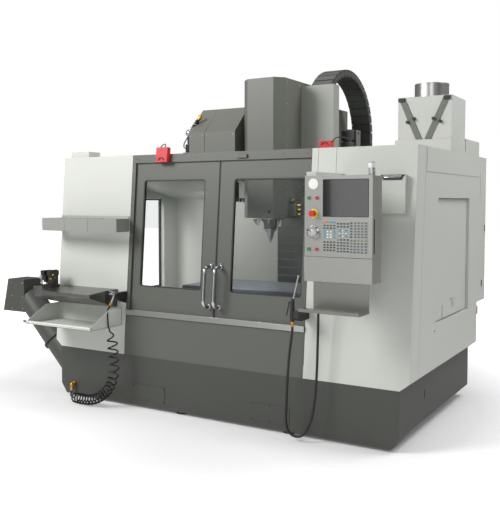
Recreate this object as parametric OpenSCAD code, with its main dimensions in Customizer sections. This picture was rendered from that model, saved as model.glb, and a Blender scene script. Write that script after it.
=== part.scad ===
// Machining centre in its enclosure: a vertical milling machine behind two sliding doors,
// with a moving table and head, a swivelling control pendant, a chip auger and hoses.
// Millimetres. +X to the operator's right, +Y to the rear, +Z up, origin on the floor
// under the middle of the whole.

/* [Enclosure] */
// Width across the light side housings
housing_w = 3120; // [2960:10:3200]
// Height of the housing top above the floor
housing_h = 2014; // [2006:1:2050]
// Depth of the side walls above the rear step
housing_d = 1780; // [1760:5:1820]
// Depth of the side walls below the rear step
housing_low_d = 1723; // [1712:1:1740]
// Height of the rear step in the side walls
step_z = 799; // [780:1:830]
// Thickness of the double skinned side walls
wall_t = 60; // [40:1:64]
// Thickness of single sheets
sheet_t = 8; // [5:1:10]
// Backward lean of the front panels in degrees
lean_deg = 4.76; // [4:0.02:5.5]
// Door opening, left edge from the middle of the housing
open_left = 808; // [790:1:830]
// Door opening, right edge from the middle of the housing
open_right = 798; // [780:1:820]
// Recess of the right side panel
recess = 30; // [20:1:36]
// Length in X of each light roof
roof_w = 740; // [700:5:780]
// Height of the cut in the lower corner of the side walls
chamfer_h = 51; // [30:1:80]

/* [Base] */
// Width of the dark base
base_w = 2994; // [2900:2:3000]
// Depth of the dark base
base_d = 1707; // [1700:1:1710]
// Height of the base top above the floor
base_h = 415; // [400:1:430]
// Clearance under the main base
base_gap = 98; // [80:1:120]
// Clearance under the front toe
toe_gap = 20; // [16:1:30]
// Length of the front toe at its lowest
toe_flat = 110; // [80:5:160]
// Length of the front toe where it meets the base
toe_d = 335; // [280:5:400]
// Sideways taper of the toe
toe_taper = 57; // [20:1:90]
// Radius of a levelling pad
pad_r = 48; // [35:1:60]
// Radius of a levelling screw
screw_r = 12; // [8:1:16]
// Width of an inspection cover
cover_w = 320; // [260:5:360]
// Thickness of a bolted cover
cover_t = 3; // [2:0.5:5]

/* [Doors] */
// Place of the meeting line of the doors
door_mid = 28; // [20:1:36]
// Width of one door leaf
door_w = 817; // [810:1:822]
// Thickness of a door leaf
door_t = 36; // [30:1:40]
// Depth of the door face behind the front panels
door_set = 16; // [14:1:20]
// Height of the door bottom on the lean
door_z0 = 760; // [758:1:765]
// Height of the door top on the lean
door_z1 = 1992; // [1984:1:1996]
// Bottom of the windows
window_z0 = 966; // [940:1:990]
// Height of the windows
window_h = 850; // [800:1:880]
// Width of the windows
window_w = 594; // [560:1:620]
// Distance of a window from the meeting line
window_in = 129; // [120:1:150]
// Corner radius of the windows
window_r = 22; // [10:1:40]
// Thickness of the window panes
pane_t = 6; // [4:1:8]
// Radius of the handle tube
grip_r = 14; // [11:0.5:16]
// Height of the lower handle foot
grip_z0 = 851; // [830:1:870]
// Height of the upper handle foot
grip_z1 = 1152; // [1130:1:1180]
// Reach of the handle in front of the door
grip_reach = 86; // [75:1:100]
// Distance of a handle from the meeting line
grip_in = 45; // [38:1:60]

/* [Machine] */
// Place of the spindle axis along X
mid_x = 38; // [34:1:42]
// Place of the spindle axis along Y
spindle_y = 895; // [890:1:897]
// Height of the spindle nose
nose_z = 1392; // [1386:1:1400]
// Radius of the spindle nose
nose_r = 56; // [50:1:60]
// Radius of the turning spindle
spindle_r = 35; // [30:0.5:40]
// Radius of the tool holder's flange
holder_r = 32; // [28:0.5:36]
// Radius of the cutting tool
tool_r = 10; // [6:0.5:14]
// Width of the head cover
head_w = 384; // [370:2:396]
// Height of the head cover top
head_top = 2648; // [2620:2:2700]
// Height of the head cover bottom
head_z0 = 1505; // [1500:1:1515]
// Front of the head cover
head_y = 720; // [700:2:740]
// Side of the corner facets of the head cover
head_facet = 70; // [40:1:90]
// Length of the table
table_l = 1374; // [1300:2:1400]
// Width of the table
table_w = 635; // [600:1:638]
// Height of the table top
table_z = 927; // [924:1:932]
// Thickness of the table
table_t = 90; // [80:1:96]
// Width of a table slot
slot_w = 16; // [12:1:18]
// Spacing of the table slots
slot_pitch = 105; // [90:1:115]
// Height of the saddle with its rails
saddle_h = 107; // [96:1:115]
// Width of a guide rail
rail_w = 45; // [35:1:50]
// Height of a guide rail
rail_h = 38; // [30:1:46]
// Width of the column
column_w = 552; // [530:2:556]
// Front of the column
column_y = 1600; // [1597:1:1606]
// Rear of the column
column_rear = 2050; // [2040:2:2080]
// Height of the column
column_top = 2580; // [2560:2:2590]
// Number of steps in the folding way cover
cover_steps = 8; // [6:1:10]

/* [Energy chain] */
// Outer radius of the chain's bend
chain_r = 540; // [530:2:550]
// Width of the chain
chain_w = 180; // [150:2:190]
// Height of a chain link
chain_h = 60; // [50:1:66]
// Angle between two links of the bend
chain_step = 9; // [9:1:10]
// Gap between two links at their inner edge
link_gap = 4; // [2:0.5:8]

/* [Top units] */
// Width of the mist collector's box
mist_w = 417; // [390:1:430]
// Depth of the mist collector's box
mist_d = 381; // [360:1:400]
// Top of the mist collector's box above the roof
mist_top = 426; // [386:2:466]
// Radius of the mist collector's fan drum
drum_r = 131; // [110:1:140]
// Height of the fan drum
drum_h = 113; // [90:1:130]
// Width of the tool changer's shroud
shroud_w = 466; // [440:2:468]
// Front of the tool changer's shroud
shroud_y = 700; // [680:2:720]
// Height of the shroud's front edge
shroud_eave = 2231; // [2200:1:2260]
// Height of the shroud's ridge
shroud_top = 2448; // [2420:1:2470]

/* [Pendant] */
// Width of the pendant face
pend_w = 460; // [452:1:466]
// Height of the pendant face
pend_h = 665; // [655:1:670]
// Depth of the pendant
pend_d = 155; // [140:1:160]
// Turn of the pendant about its pivot in degrees
pend_turn = -1.65; // [-4:0.05:0]
// Width of the screen
screen_w = 304; // [296:1:306]
// Height of the screen
screen_h = 228; // [220:1:232]
// Radius of a push button
button_r = 9.9; // [8:0.1:11]
// Stroke of a push button
button_stroke = 3; // [2:0.1:4]
// Radius of the emergency stop's mushroom
stop_r = 20; // [17:0.5:24]
// Radius of the emergency stop's stem
stop_stem_r = 12; // [9:0.1:14]
// Stroke of the emergency stop
stop_stroke = 6; // [4:0.1:8]
// Radius of the jog wheel
wheel_r = 36; // [30:0.5:40]
// Radius of the jog wheel's shaft
wheel_shaft_r = 6; // [4:0.1:8]
// Radius of the pivot tube behind the pendant
pivot_r = 30; // [26:0.5:34]
// Radius of the pivot pins
pin_r = 14; // [10:0.5:18]
// Reach of the tray under the pendant
tray_d = 150; // [130:1:160]

/* [Left side] */
// Length of the tool tray
tooltray_l = 780; // [740:2:790]
// Reach of the tool tray in front of the panel
tooltray_d = 190; // [180:1:200]
// Radius of a hole in the tool tray
pocket_r = 33; // [28:1:36]
// Height of the work shelf
shelf_z = 930; // [920:1:940]
// Reach of the work shelf
shelf_d = 411; // [400:1:420]
// Length of the scrap bin
bin_l = 692; // [660:2:700]
// Reach of the scrap bin
bin_d = 352; // [330:1:370]
// Thickness of the thin steel sheets
thin_t = 3; // [2:0.5:4]
// Opening of the vise
vise_gap = 30; // [20:1:40]
// Radius of the auger tube
auger_r = 115; // [105:1:118]
// Radius of the auger's flights
flight_r = 90; // [80:1:94]
// Radius of the auger's shaft
auger_shaft_r = 22; // [16:1:28]
// Place of the auger's axis along Y
auger_y = 130; // [124:1:140]

/* [Hoses] */
// Outer diameter of the coiled air hose
coil_d = 86; // [80:1:90]
// Diameter of the air hose itself
air_d = 12; // [10:0.5:14]
// Outer diameter of the wash-down hose
wash_d = 18; // [14:0.5:20]
// Number of sides of a hose
hose_sides = 10; // [8:1:12]

/* [Fits] */
// Gap between pieces that meet without touching
seat = 0.3; // [0.2:0.05:0.5]
// Radial clearance of a running fit
run_fit = 0.05; // [0.03:0.01:0.08]

/* [Hidden] */

light_grey = [0.80, 0.80, 0.77];
mid_grey = [0.42, 0.43, 0.41];
dark_grey = [0.28, 0.29, 0.27];
cover_grey = [0.50, 0.51, 0.48];
steel = [0.75, 0.75, 0.73];
table_grey = [0.55, 0.58, 0.62];
black = [0.08, 0.08, 0.08];
brass = [0.80, 0.60, 0.25];
red = [0.75, 0.10, 0.12];
green = [0.10, 0.45, 0.15];
yellow = [0.95, 0.80, 0.10];
glass = [0.75, 0.85, 0.90, 0.35];

$fn = 48;
side_x = housing_w / 2;
inner_x = side_x - wall_t;
base_x = base_w / 2;
door_back = door_set + door_t;
column_x0 = mid_x - column_w / 2;
column_x1 = mid_x + column_w / 2;
chain_x0 = column_x1 + 4;
chain_x1 = chain_x0 + chain_w;
head_x0 = mid_x - head_w / 2;
head_x1 = mid_x + head_w / 2;

// Shift from the drawing's frame, where X = 0 is the housing's middle and Y = 0 the front
// of the base, to the middle of the whole
frame_x = 333.5;
frame_y = -775;

// Y of the front panels' face at a height
function front_y(z) = (z - base_h) * tan(lean_deg);

// Height on the lean for a height above the floor
function up(z) = base_h + (z - base_h) / cos(lean_deg);

// Everything is placed on the common frame
module place() translate([frame_x, frame_y, 0]) children();

// Pieces drawn upright lean back with the front panels
module leaned() translate([0, 0, base_h]) rotate([-lean_deg, 0, 0]) translate([0, 0, -base_h]) children();

// Box between two corners
module block(low, high) translate(low) cube(high - low);

// Outline in the XZ plane, from y0 to y1
module in_xz(y0, y1) translate([0, y1, 0]) rotate([90, 0, 0]) linear_extrude(y1 - y0) children();

// Outline in the YZ plane, from x0 to x1
module in_yz(x0, x1) translate([x0, 0, 0]) rotate([90, 0, 90]) linear_extrude(x1 - x0) children();

// Outline in the XY plane, from z0 to z1
module in_xy(z0, z1) translate([0, 0, z0]) linear_extrude(z1 - z0) children();

// Rectangle with round corners, from its lower left corner
module soft_rect(w, h, r) {
    translate([r, 0]) square([w - 2 * r, h]);
    translate([0, r]) square([w, h - 2 * r]);
    for (x = [r, w - r], y = [r, h - r]) translate([x, y]) circle(r);
}

// Cylinder along Y, from y0 to y1
module rod_y(x, y0, y1, z, r) translate([x, y1, z]) rotate([90, 0, 0]) cylinder(r = r, h = y1 - y0);

// Cylinder along X, from x0 to x1
module rod_x(x0, x1, y, z, r) translate([x0, y, z]) rotate([0, 90, 0]) cylinder(r = r, h = x1 - x0);

// Base with the machine's bed

base_bump = 182;
bed_w = 780;
bed_y = 250;
bed_top = table_z - table_t - saddle_h - rail_h;
bed_rail_x = 290;
drain_y = 526;
module base_tank() color(dark_grey) place() {
    difference() {
        in_xy(base_gap, base_h) union() {
            translate([-base_x, 0]) square([base_w, base_d]);
            translate([column_x0 - base_bump, base_d - 1])
                square([column_w + 2 * base_bump, column_rear + 11 - base_d]);
        }
        // Slot in the right side
        block([base_x - 6, drain_y - 6, 250], [base_x + 1, drain_y + 6, 312]);
        // Well of the auger in the left side
        on_auger() translate([0, 0, -120]) cylinder(r = flight_r + 6, h = 300);
    }
    intersection() {
        in_yz(-base_x, base_x)
            polygon([[0, base_gap + 1], [0, toe_gap], [toe_flat, toe_gap], [toe_d, base_gap], [toe_d, base_gap + 1]]);
        in_xz(-1, toe_d + 1) polygon([
            [-base_x, base_gap + 1], [-base_x, base_gap], [-base_x + toe_taper, toe_gap],
            [base_x - toe_taper, toe_gap], [base_x, base_gap], [base_x, base_gap + 1]
        ]);
    }
    // Bed and its two guide rails
    block([mid_x - bed_w / 2, bed_y, base_h - 1], [mid_x + bed_w / 2, column_y - seat, bed_top]);
    for (x = [mid_x - bed_rail_x, mid_x + bed_rail_x])
        block([x - rail_w / 2, bed_y + 6, bed_top - 1], [x + rail_w / 2, column_y - 60, bed_top + rail_h - seat]);
}

// Pad, screw and nut of one foot, up to the height that it carries
pad_h = 14;
nut_h = 24;
module foot(x, y, top) translate([x, y, 0]) {
    cylinder(r1 = pad_r, r2 = pad_r - 6, h = pad_h);
    cylinder(r = screw_r, h = top - seat);
    if (top > pad_h + nut_h) translate([0, 0, top - nut_h - 8]) cylinder(r = screw_r * 2, h = nut_h, $fn = 6);
}

toe_feet_x = [-275, 668];
foot_x = 1300;
foot_rows = [500, 1050, 1600];
module levelling_feet() color(black) place() {
    for (x = toe_feet_x) foot(x, 60, toe_gap);
    for (x = [-foot_x, foot_x], y = foot_rows) foot(x, y, base_gap);
}

cover_left_x = [-721, 374];
cover_z0 = 63;
cover_z1 = 192;
access_y = 312;
access_h = 169;
access_in = 59;
module cover_plates() color(dark_grey) place() {
    for (x = cover_left_x)
        block([x, -seat - cover_t, cover_z0], [x + cover_w, -seat, cover_z1]);
    // Access cover high on the right wall
    color(light_grey) in_yz(side_x + seat, side_x + cover_t)
        polygon([
            [access_y, housing_h - access_h], [housing_d - access_in, housing_h - access_h],
            [housing_d - access_in, housing_h - 6], [access_y + 14, housing_h - 6]
        ]);
}

// Side housings

side_low = base_h + chamfer_h;

// Front sheet of one housing, at the plus X side, leaning back
module front_sheet(edge) intersection() {
    in_yz(edge, side_x) polygon([
        [0, base_h], [sheet_t, base_h],
        [front_y(housing_h) + sheet_t, housing_h], [front_y(housing_h), housing_h]
    ]);
    in_xz(-1, front_y(housing_h) + sheet_t + 1) cut_corner(edge);
}

// Outline of the front with its cut lower corner
module cut_corner(edge) polygon([
    [edge, base_h], [base_x, base_h], [side_x, side_low], [side_x, housing_h], [edge, housing_h]
]);

module side_wall() intersection() {
    in_yz(inner_x, side_x) polygon([
        [0, base_h], [front_y(housing_h), housing_h], [housing_d, housing_h],
        [housing_d, step_z], [housing_low_d, step_z], [housing_low_d, base_h]
    ]);
    in_xz(-1, max(housing_d, housing_low_d) + 1) cut_corner(0);
}

// Rear sheet with the step, from the side wall to the column
column_gap = 30;
module rear_sheet(edge) in_yz(edge, inner_x + 1) {
    outer = max(housing_d, housing_low_d);
    step_top = housing_d > housing_low_d ? step_z + sheet_t : step_z;
    translate([housing_low_d - sheet_t, base_h]) square([sheet_t, step_top - base_h]);
    translate([min(housing_d, housing_low_d) - sheet_t, step_top - sheet_t])
        square([outer - min(housing_d, housing_low_d) + sheet_t, sheet_t]);
    translate([housing_d - sheet_t, step_top - sheet_t]) square([sheet_t, housing_h - step_top + sheet_t]);
}

// Roof, set back behind the door frame where it reaches past the front sheet
module roof(edge) in_xy(housing_h - sheet_t, housing_h) polygon([
    [inner_x + 1, front_y(housing_h) + 2], [edge, front_y(housing_h) + 2],
    [edge, front_y(housing_h) + door_back + 24], [inner_x - roof_w, front_y(housing_h) + door_back + 24],
    [inner_x - roof_w, housing_d - 1], [inner_x + 1, housing_d - 1]
]);

opening_y0 = 570;
opening_y1 = 1440;
opening_z0 = 778;
opening_z1 = 1668;
opening_lean = 26;
module side_opening(inset = 0) polygon([
    [opening_y0 + inset, opening_z0 + inset], [opening_y0 + opening_lean + inset, opening_z1 - inset],
    [opening_y1 - inset, opening_z1 - inset], [opening_y1 - inset, opening_z0 + inset]
]);

module left_housing() color(light_grey) place() {
    difference() {
        mirror([1, 0, 0]) union() {
            side_wall();
            front_sheet(open_left);
            rear_sheet(column_gap - column_x0);
            roof(open_left);
        }
        in_yz(-side_x - 1, -inner_x + 1) side_opening();
        // Way for the auger through the lower corner
        on_auger() translate([0, 0, -200]) cylinder(r = auger_r + 4, h = 600);
    }
    // Flat box on the roof's front corner
    block([-1500, front_y(housing_h) + 14, housing_h - 1], [-1300, front_y(housing_h) + 150, housing_h + 46]);
}

panel_wrap = 175;
module right_housing() color(light_grey) place() difference() {
    union() {
        side_wall();
        front_sheet(open_right);
        rear_sheet(column_x1 + column_gap);
        roof(open_right);
    }
    in_yz(side_x - recess, side_x + 1) side_opening();
    // Groove where the front panel is folded round the corner
    in_yz(side_x - 2, side_x + 1) polygon([
        [front_y(side_low) + panel_wrap, side_low - 60], [front_y(housing_h) + panel_wrap, housing_h + 1],
        [front_y(housing_h) + panel_wrap + 4, housing_h + 1], [front_y(side_low) + panel_wrap + 4, side_low - 60]
    ]);
    rod_x(side_x - 6, side_x + 1, 539, 732, 9);
}

// Clear pane in the left wall's opening
pane_set = 22;
module side_window() color(glass) place()
    in_yz(-side_x + pane_set, -side_x + pane_set + sheet_t) side_opening(seat);

// Lift-off panel in the right wall's recess, with its lower plate and latch
latch_y = 1050;
latch_z = opening_z0 + 100;
module side_panel() place() {
    x0 = side_x - recess + seat;
    color(light_grey) in_yz(x0, x0 + 8) side_opening(8);
    color(light_grey) block([x0 + 7, 782, opening_z0 + 10], [x0 + 14, 1316, latch_z + 12]);
    color(black) rod_x(x0 + 13, x0 + 19, latch_y, latch_z, 34);
    color(black) block([x0 + 18, latch_y - 30, latch_z - 9], [x0 + 26, latch_y + 30, latch_z + 9]);
}

// Inner walls: rear wall, sloping ceilings and chip pans

rear_wall_y = 1655;
ceiling_low = 1676;
ceiling_high = 1936;
ceiling_y = 205;
lining_t = 6;
changer_edge = -215;
head_edge = 560;
pan_in = 460;
pan_y = 110;
pan_low = 560;
pan_high = 720;
module ceiling(x0, x1) in_yz(x0, x1) polygon([
    [ceiling_y, ceiling_high], [rear_wall_y + 1, ceiling_low],
    [rear_wall_y + 1, ceiling_low - lining_t], [ceiling_y, ceiling_high - lining_t]
]);
module chip_pan(x0, x1, z0, z1) in_xz(pan_y, rear_wall_y + 1)
    polygon([[x0, z0], [x1, z1], [x1, z1 - lining_t], [x0, z0 - lining_t]]);
module inner_walls() color(light_grey) place() {
    left = -inner_x + seat;
    right = inner_x - seat;
    difference() {
        union() {
            block([left, rear_wall_y, pan_low - lining_t], [right, rear_wall_y + lining_t, ceiling_low]);
            ceiling(left, changer_edge);
            ceiling(head_edge, right);
        }
        block([column_x0 - seat, column_y - seat, 0], [column_x1 + seat, rear_wall_y + lining_t + 1, housing_h]);
    }
    chip_pan(left, mid_x - pan_in, pan_high, pan_low);
    chip_pan(mid_x + pan_in, right, pan_low, pan_high);
    // Skirts from the pans down to the base
    for (x = [mid_x - pan_in, mid_x + pan_in - lining_t])
        block([x, pan_y, base_h + seat], [x + lining_t, rear_wall_y - column_gap, pan_low]);
}

// Door frame: header, apron, stile, upper guide and lower track

header_z = 1949;
sill_z0 = 735;
sill_z1 = 775;
stile_w = 33;
guide_t = 8;
track_t = 10;
module door_frame() color(mid_grey) place() leaned() {
    x0 = -open_left + seat;
    x1 = open_right - seat;
    run_x = inner_x - seat;
    guide_y = door_back + seat;
    top = up(housing_h);
    // Header band, its flange and the guide behind the door tops
    block([x0, 0, up(header_z)], [x1, sheet_t, top]);
    block([x0, 0, top - guide_t], [x1, guide_y + guide_t, top]);
    block([x0, guide_y, up(header_z)], [x1, guide_y + guide_t, top]);
    block([-run_x, guide_y, up(header_z)], [run_x, guide_y + guide_t, door_z1 + 4]);
    // Left stile and apron
    block([x0, 0, sill_z1 + seat], [x0 + stile_w, sheet_t, up(header_z) + 1]);
    in_yz(x0, x1) polygon([
        [0, base_h + seat], [sheet_t, base_h + sheet_t / 4], [sheet_t, door_z0 - seat], [0, up(sill_z1) - 18]
    ]);
    // Track under the doors and its rear lip
    block([x0, sheet_t - 1, door_z0 - seat - track_t], [x1, guide_y, door_z0 - seat]);
    block([-run_x, sheet_t + seat, door_z0 - seat - track_t], [run_x, guide_y + guide_t, door_z0 - seat]);
    block([-run_x, guide_y, door_z0 - seat - 1], [run_x, guide_y + guide_t, door_z0 + 30]);
    // Small bracket on the header
    block([190, -14, up(header_z) + 14], [272, 1, up(header_z) + 40]);
}

// Stainless sill folded over the apron
sill_out = 14;
sill_fold = 4;
module sill() color(steel) place() leaned() in_yz(-open_left + seat, open_right - seat) polygon([
    [-seat, sill_z0], [-sill_out, sill_z0], [-sill_out, sill_z1], [door_set - seat, sill_z1],
    [door_set - seat, sill_z1 - sill_fold], [-sill_out + sill_fold, sill_z1 - sill_fold],
    [-sill_out + sill_fold, sill_z0 + sill_fold], [-seat, sill_z0 + sill_fold]
]);

// Sliding doors, drawn for the right leaf from the meeting line

half_gap = 1;
pane_ledge = 8;
pane_back = door_back - 6;
module leaf_frame() difference() {
    in_xz(door_set, door_back) difference() {
        translate([half_gap, door_z0]) square([door_w - half_gap, door_z1 - door_z0]);
        translate([window_in, up(window_z0)]) soft_rect(window_w, window_h, window_r);
    }
    in_xz(pane_back - pane_t - 2 * seat, door_back + 1)
        translate([window_in - pane_ledge, up(window_z0) - pane_ledge])
            soft_rect(window_w + 2 * pane_ledge, window_h + 2 * pane_ledge, window_r + pane_ledge);
}
module leaf_pane() in_xz(pane_back - pane_t - seat, pane_back - seat)
    translate([window_in - pane_ledge + seat, up(window_z0) - pane_ledge + seat])
        soft_rect(window_w + 2 * (pane_ledge - seat), window_h + 2 * (pane_ledge - seat), window_r + pane_ledge - seat);

// Half of the bow handle: foot, elbow and half of the grip
grip_bend = 45;
module handle_half(half) {
    foot_y = door_set - seat;
    grip_y = door_set - grip_reach;
    translate([0, grip_y, -1]) cylinder(r = grip_r, h = half - grip_bend + 1);
    translate([0, grip_y + grip_bend, half - grip_bend]) rotate([90, 0, -90])
        rotate_extrude(angle = 90) translate([grip_bend, 0]) circle(grip_r);
    rod_y(0, grip_y + grip_bend, foot_y, half, grip_r);
    rod_y(0, foot_y - 12, foot_y, half, grip_r + 5);
}
module bow_handle() translate([grip_in, 0, up((grip_z0 + grip_z1) / 2)]) {
    half = (grip_z1 - grip_z0) / 2;
    handle_half(half);
    mirror([0, 0, 1]) handle_half(half);
}

// Place of the right door, or of the left one as its mirror image
module at_door(flip) place() leaned() translate([door_mid, 0, 0]) mirror([flip, 0, 0]) children();
module left_door() color(mid_grey) at_door(1) leaf_frame();
module left_pane() color(glass) at_door(1) leaf_pane();
module left_handle() color(steel) at_door(1) bow_handle();
module right_door() color(mid_grey) at_door(0) leaf_frame();
module right_pane() color(glass) at_door(0) leaf_pane();
module right_handle() color(steel) at_door(0) bow_handle();

// Table on its saddle

saddle_w = 760;
saddle_d = 600;
cross_rail_y = 210;
module saddle() color(dark_grey) place() {
    z0 = bed_top + rail_h;
    z1 = table_z - table_t;
    block([mid_x - saddle_w / 2, spindle_y - saddle_d / 2, z0], [mid_x + saddle_w / 2, spindle_y + saddle_d / 2, z1 - rail_h]);
    for (y = [spindle_y - cross_rail_y, spindle_y + cross_rail_y])
        block([mid_x - saddle_w / 2, y - rail_w / 2, z1 - rail_h - 1], [mid_x + saddle_w / 2, y + rail_w / 2, z1 - seat]);
}

slot_depth = 30;
slot_foot = 12;
module tee_slot() {
    translate([-slot_w / 2, -slot_depth]) square([slot_w, slot_depth + 1]);
    translate([-slot_w * 0.9, -slot_depth]) square([slot_w * 1.8, slot_foot]);
}
module table() color(table_grey) place() in_yz(mid_x - table_l / 2, mid_x + table_l / 2)
    translate([spindle_y, table_z]) difference() {
        translate([-table_w / 2, -table_t]) square([table_w, table_t]);
        for (i = [-2:2]) translate([i * slot_pitch, 0]) tee_slot();
        // Coolant gutters along both long edges
        for (y = [-table_w / 2 + 22, table_w / 2 - 22]) translate([y - 10, -14]) square([20, 15]);
    }

// Column with its guide rails, the chain's bracket and the drum motor

column_rail_x = 200;
column_rail_d = 38;
way_z0 = 800;
motor_x = 425;
motor_y = 1700;
motor_z = 1990;
chain_y = 1490;
chain_z = 2245;
chain_low = 2100;
bracket_d = 130;
module column() place() {
    color(dark_grey) {
        block([column_x0, column_y, base_h + seat], [column_x1, column_rear, column_top]);
        for (x = [mid_x - column_rail_x, mid_x + column_rail_x])
            block([x - rail_w / 2, column_y - column_rail_d + seat, way_z0], [x + rail_w / 2, column_y + 1, column_top - 40]);
        block([column_x1 - 1, chain_y + chain_r - bracket_d, chain_low - 40], [chain_x1, chain_y + chain_r, chain_low - seat]);
        block([column_x1 - 1, chain_y + chain_r - bracket_d, chain_low - 41], [column_x1 + 12, chain_y + chain_r - chain_h - 4, chain_low + 200]);
    }
    color(black) {
        block([column_x1 - 1, motor_y - 90, motor_z], [motor_x + 80, motor_y + 68, motor_z + 12]);
        translate([motor_x, motor_y, motor_z + 11]) cylinder(r = 66, h = 240);
        translate([motor_x, motor_y, motor_z + 250]) cylinder(r = 72, h = 46);
        translate([motor_x, motor_y, motor_z + 295]) cylinder(r = 50, h = 20);
    }
}

// Folding steel cover in front of the column guides, under the head
carriage_drop = 100;
carriage_w = 450;
way_x = 290;
way_t = 5;
way_y = column_y - 50;
way_top = head_z0 - carriage_drop - seat;
module way_cover() color(cover_grey) place() {
    step = (way_top - way_z0) / cover_steps;
    in_yz(mid_x - way_x, mid_x + way_x) polygon(concat(
        [for (i = [0:cover_steps - 1]) each [[way_y + 3, way_z0 + i * step], [way_y, way_z0 + (i + 1) * step]]],
        [[way_y + way_t, way_top], [way_y + way_t, way_z0]]
    ));
    for (x = [mid_x - way_x, mid_x + way_x - way_t])
        block([x, way_y + 3, way_z0], [x + way_t, column_y - seat, way_top]);
}

// Head with its cover and the carriage on the column guides
cap_z = 1480;
cap_r = nose_r + 22;
flange_h = 20;
seam_z = 1725;
seam = 2;
head_back = column_y - 100;
carriage_top = head_z0 + 695;
module head_plan(inset = 0) polygon([
    [head_x0 + inset, head_y + head_facet], [head_x0 + head_facet, head_y + inset],
    [head_x1 - head_facet, head_y + inset], [head_x1 - inset, head_y + head_facet],
    [head_x1 - inset, head_back], [head_x0 + inset, head_back]
]);
module head() color(cover_grey) place() difference() {
    union() {
        in_xy(head_z0, head_top) head_plan();
        block([mid_x - carriage_w / 2, head_back - 1, head_z0 - carriage_drop],
            [mid_x + carriage_w / 2, column_y - column_rail_d, carriage_top]);
        translate([mid_x, spindle_y, nose_z + flange_h]) cylinder(r = nose_r, h = head_z0 - nose_z);
        translate([mid_x, spindle_y, cap_z]) cylinder(r = cap_r, h = head_z0 - cap_z + 1);
    }
    translate([mid_x, spindle_y, nose_z]) cylinder(r = spindle_r + run_fit, h = 320);
    // Seam of the lower cover
    in_xy(seam_z, seam_z + seam) difference() {
        translate([head_x0 - 1, head_y - 1]) square([head_w + 2, 620]);
        head_plan(seam);
    }
    rod_y(126, head_y - 1, head_y + 10, 1558, 11);
}

// Box on the head's right side, where the energy chain ends
box_x1 = 530;
box_y0 = 1080;
box_y1 = 1190;
box_low = 2052;
box_top = 2612;
module chain_box() color(cover_grey) place() {
    block([head_x1 + seat, box_y0, box_low], [box_x1, box_y1, box_top]);
    block([head_x1 + seat, box_y1 - 1, box_low], [box_x1 - 60, box_y1 + 90, box_top - 240]);
}

module spindle() color(steel) place() translate([mid_x, spindle_y, nose_z]) {
    cylinder(r = spindle_r, h = 310);
    cylinder(r = nose_r - 6, h = flange_h - seat);
}

module tool_holder() color(steel) place() translate([mid_x, spindle_y, nose_z]) {
    translate([0, 0, -30]) cylinder(r = holder_r, h = 12);
    translate([0, 0, -19]) cylinder(r = holder_r - 5, h = 8);
    translate([0, 0, -12]) cylinder(r = holder_r, h = 12 - seat);
    translate([0, 0, -66]) cylinder(r1 = 20, r2 = 27, h = 37);
    translate([0, 0, -92]) cylinder(r = tool_r, h = 30);
}

// Coolant manifold on the head's side, with the ring of nozzles under the head
nozzle_angles = [20, 70, 160, 200, 290, 340];
module coolant_block() color(brass) place() {
    block([head_x1 + seat, 860, head_z0 + 20], [head_x1 + 66, 1090, head_z0 + 120]);
    for (z = [head_z0 + 32, head_z0 + 68, head_z0 + 104]) rod_x(head_x1 + 65, head_x1 + 96, 890, z, 11);
    translate([mid_x, spindle_y, head_z0 - 14]) difference() {
        cylinder(r = 112, h = 14 - seat);
        translate([0, 0, -1]) cylinder(r = cap_r + seat, h = 16);
    }
    for (a = nozzle_angles) translate([mid_x, spindle_y, head_z0 - 44]) rotate([0, 0, a])
        translate([96, 0, 0]) rotate([0, 10, 0]) cylinder(r = 7, h = 36);
}

// Tool changer's shroud beside the head, with the air valves on its left end
shroud_x = -659;
shroud_low = 1992;
shroud_ridge_y = 915;
module changer_shroud() place() {
    color(dark_grey) difference() {
        in_yz(shroud_x, shroud_x + shroud_w) polygon([
            [shroud_y, shroud_low], [shroud_y, shroud_eave], [shroud_ridge_y, shroud_top],
            [column_y - seat, shroud_top], [column_y - seat, shroud_low]
        ]);
        // Seam between the two covers
        in_yz(-500, -497) polygon([
            [shroud_y - 1, shroud_low - 1], [shroud_y - 1, shroud_eave], [shroud_ridge_y, shroud_top + 1],
            [column_y, shroud_top + 1], [column_y, shroud_top - 3], [shroud_ridge_y, shroud_top - 3],
            [shroud_y + 3, shroud_eave - 1], [shroud_y + 3, shroud_low - 1]
        ]);
    }
    color(black) {
        block([shroud_x - 60, 760, shroud_low + 60], [shroud_x + 1, 980, shroud_low + 110]);
        rod_y(shroud_x - 60, 740, 800, shroud_low + 130, 40);
        translate([shroud_x - 36, 850, shroud_low + 109]) cylinder(r = 30, h = 130);
        translate([shroud_x - 36, 850, shroud_low + 262]) sphere(r = 38);
        translate([shroud_x - 24, 930, shroud_low + 109]) cylinder(r = 16, h = 260);
    }
    color(brass) translate([shroud_x - 24, 930, shroud_low + 368]) cylinder(r = 22, h = 36);
}

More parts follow.
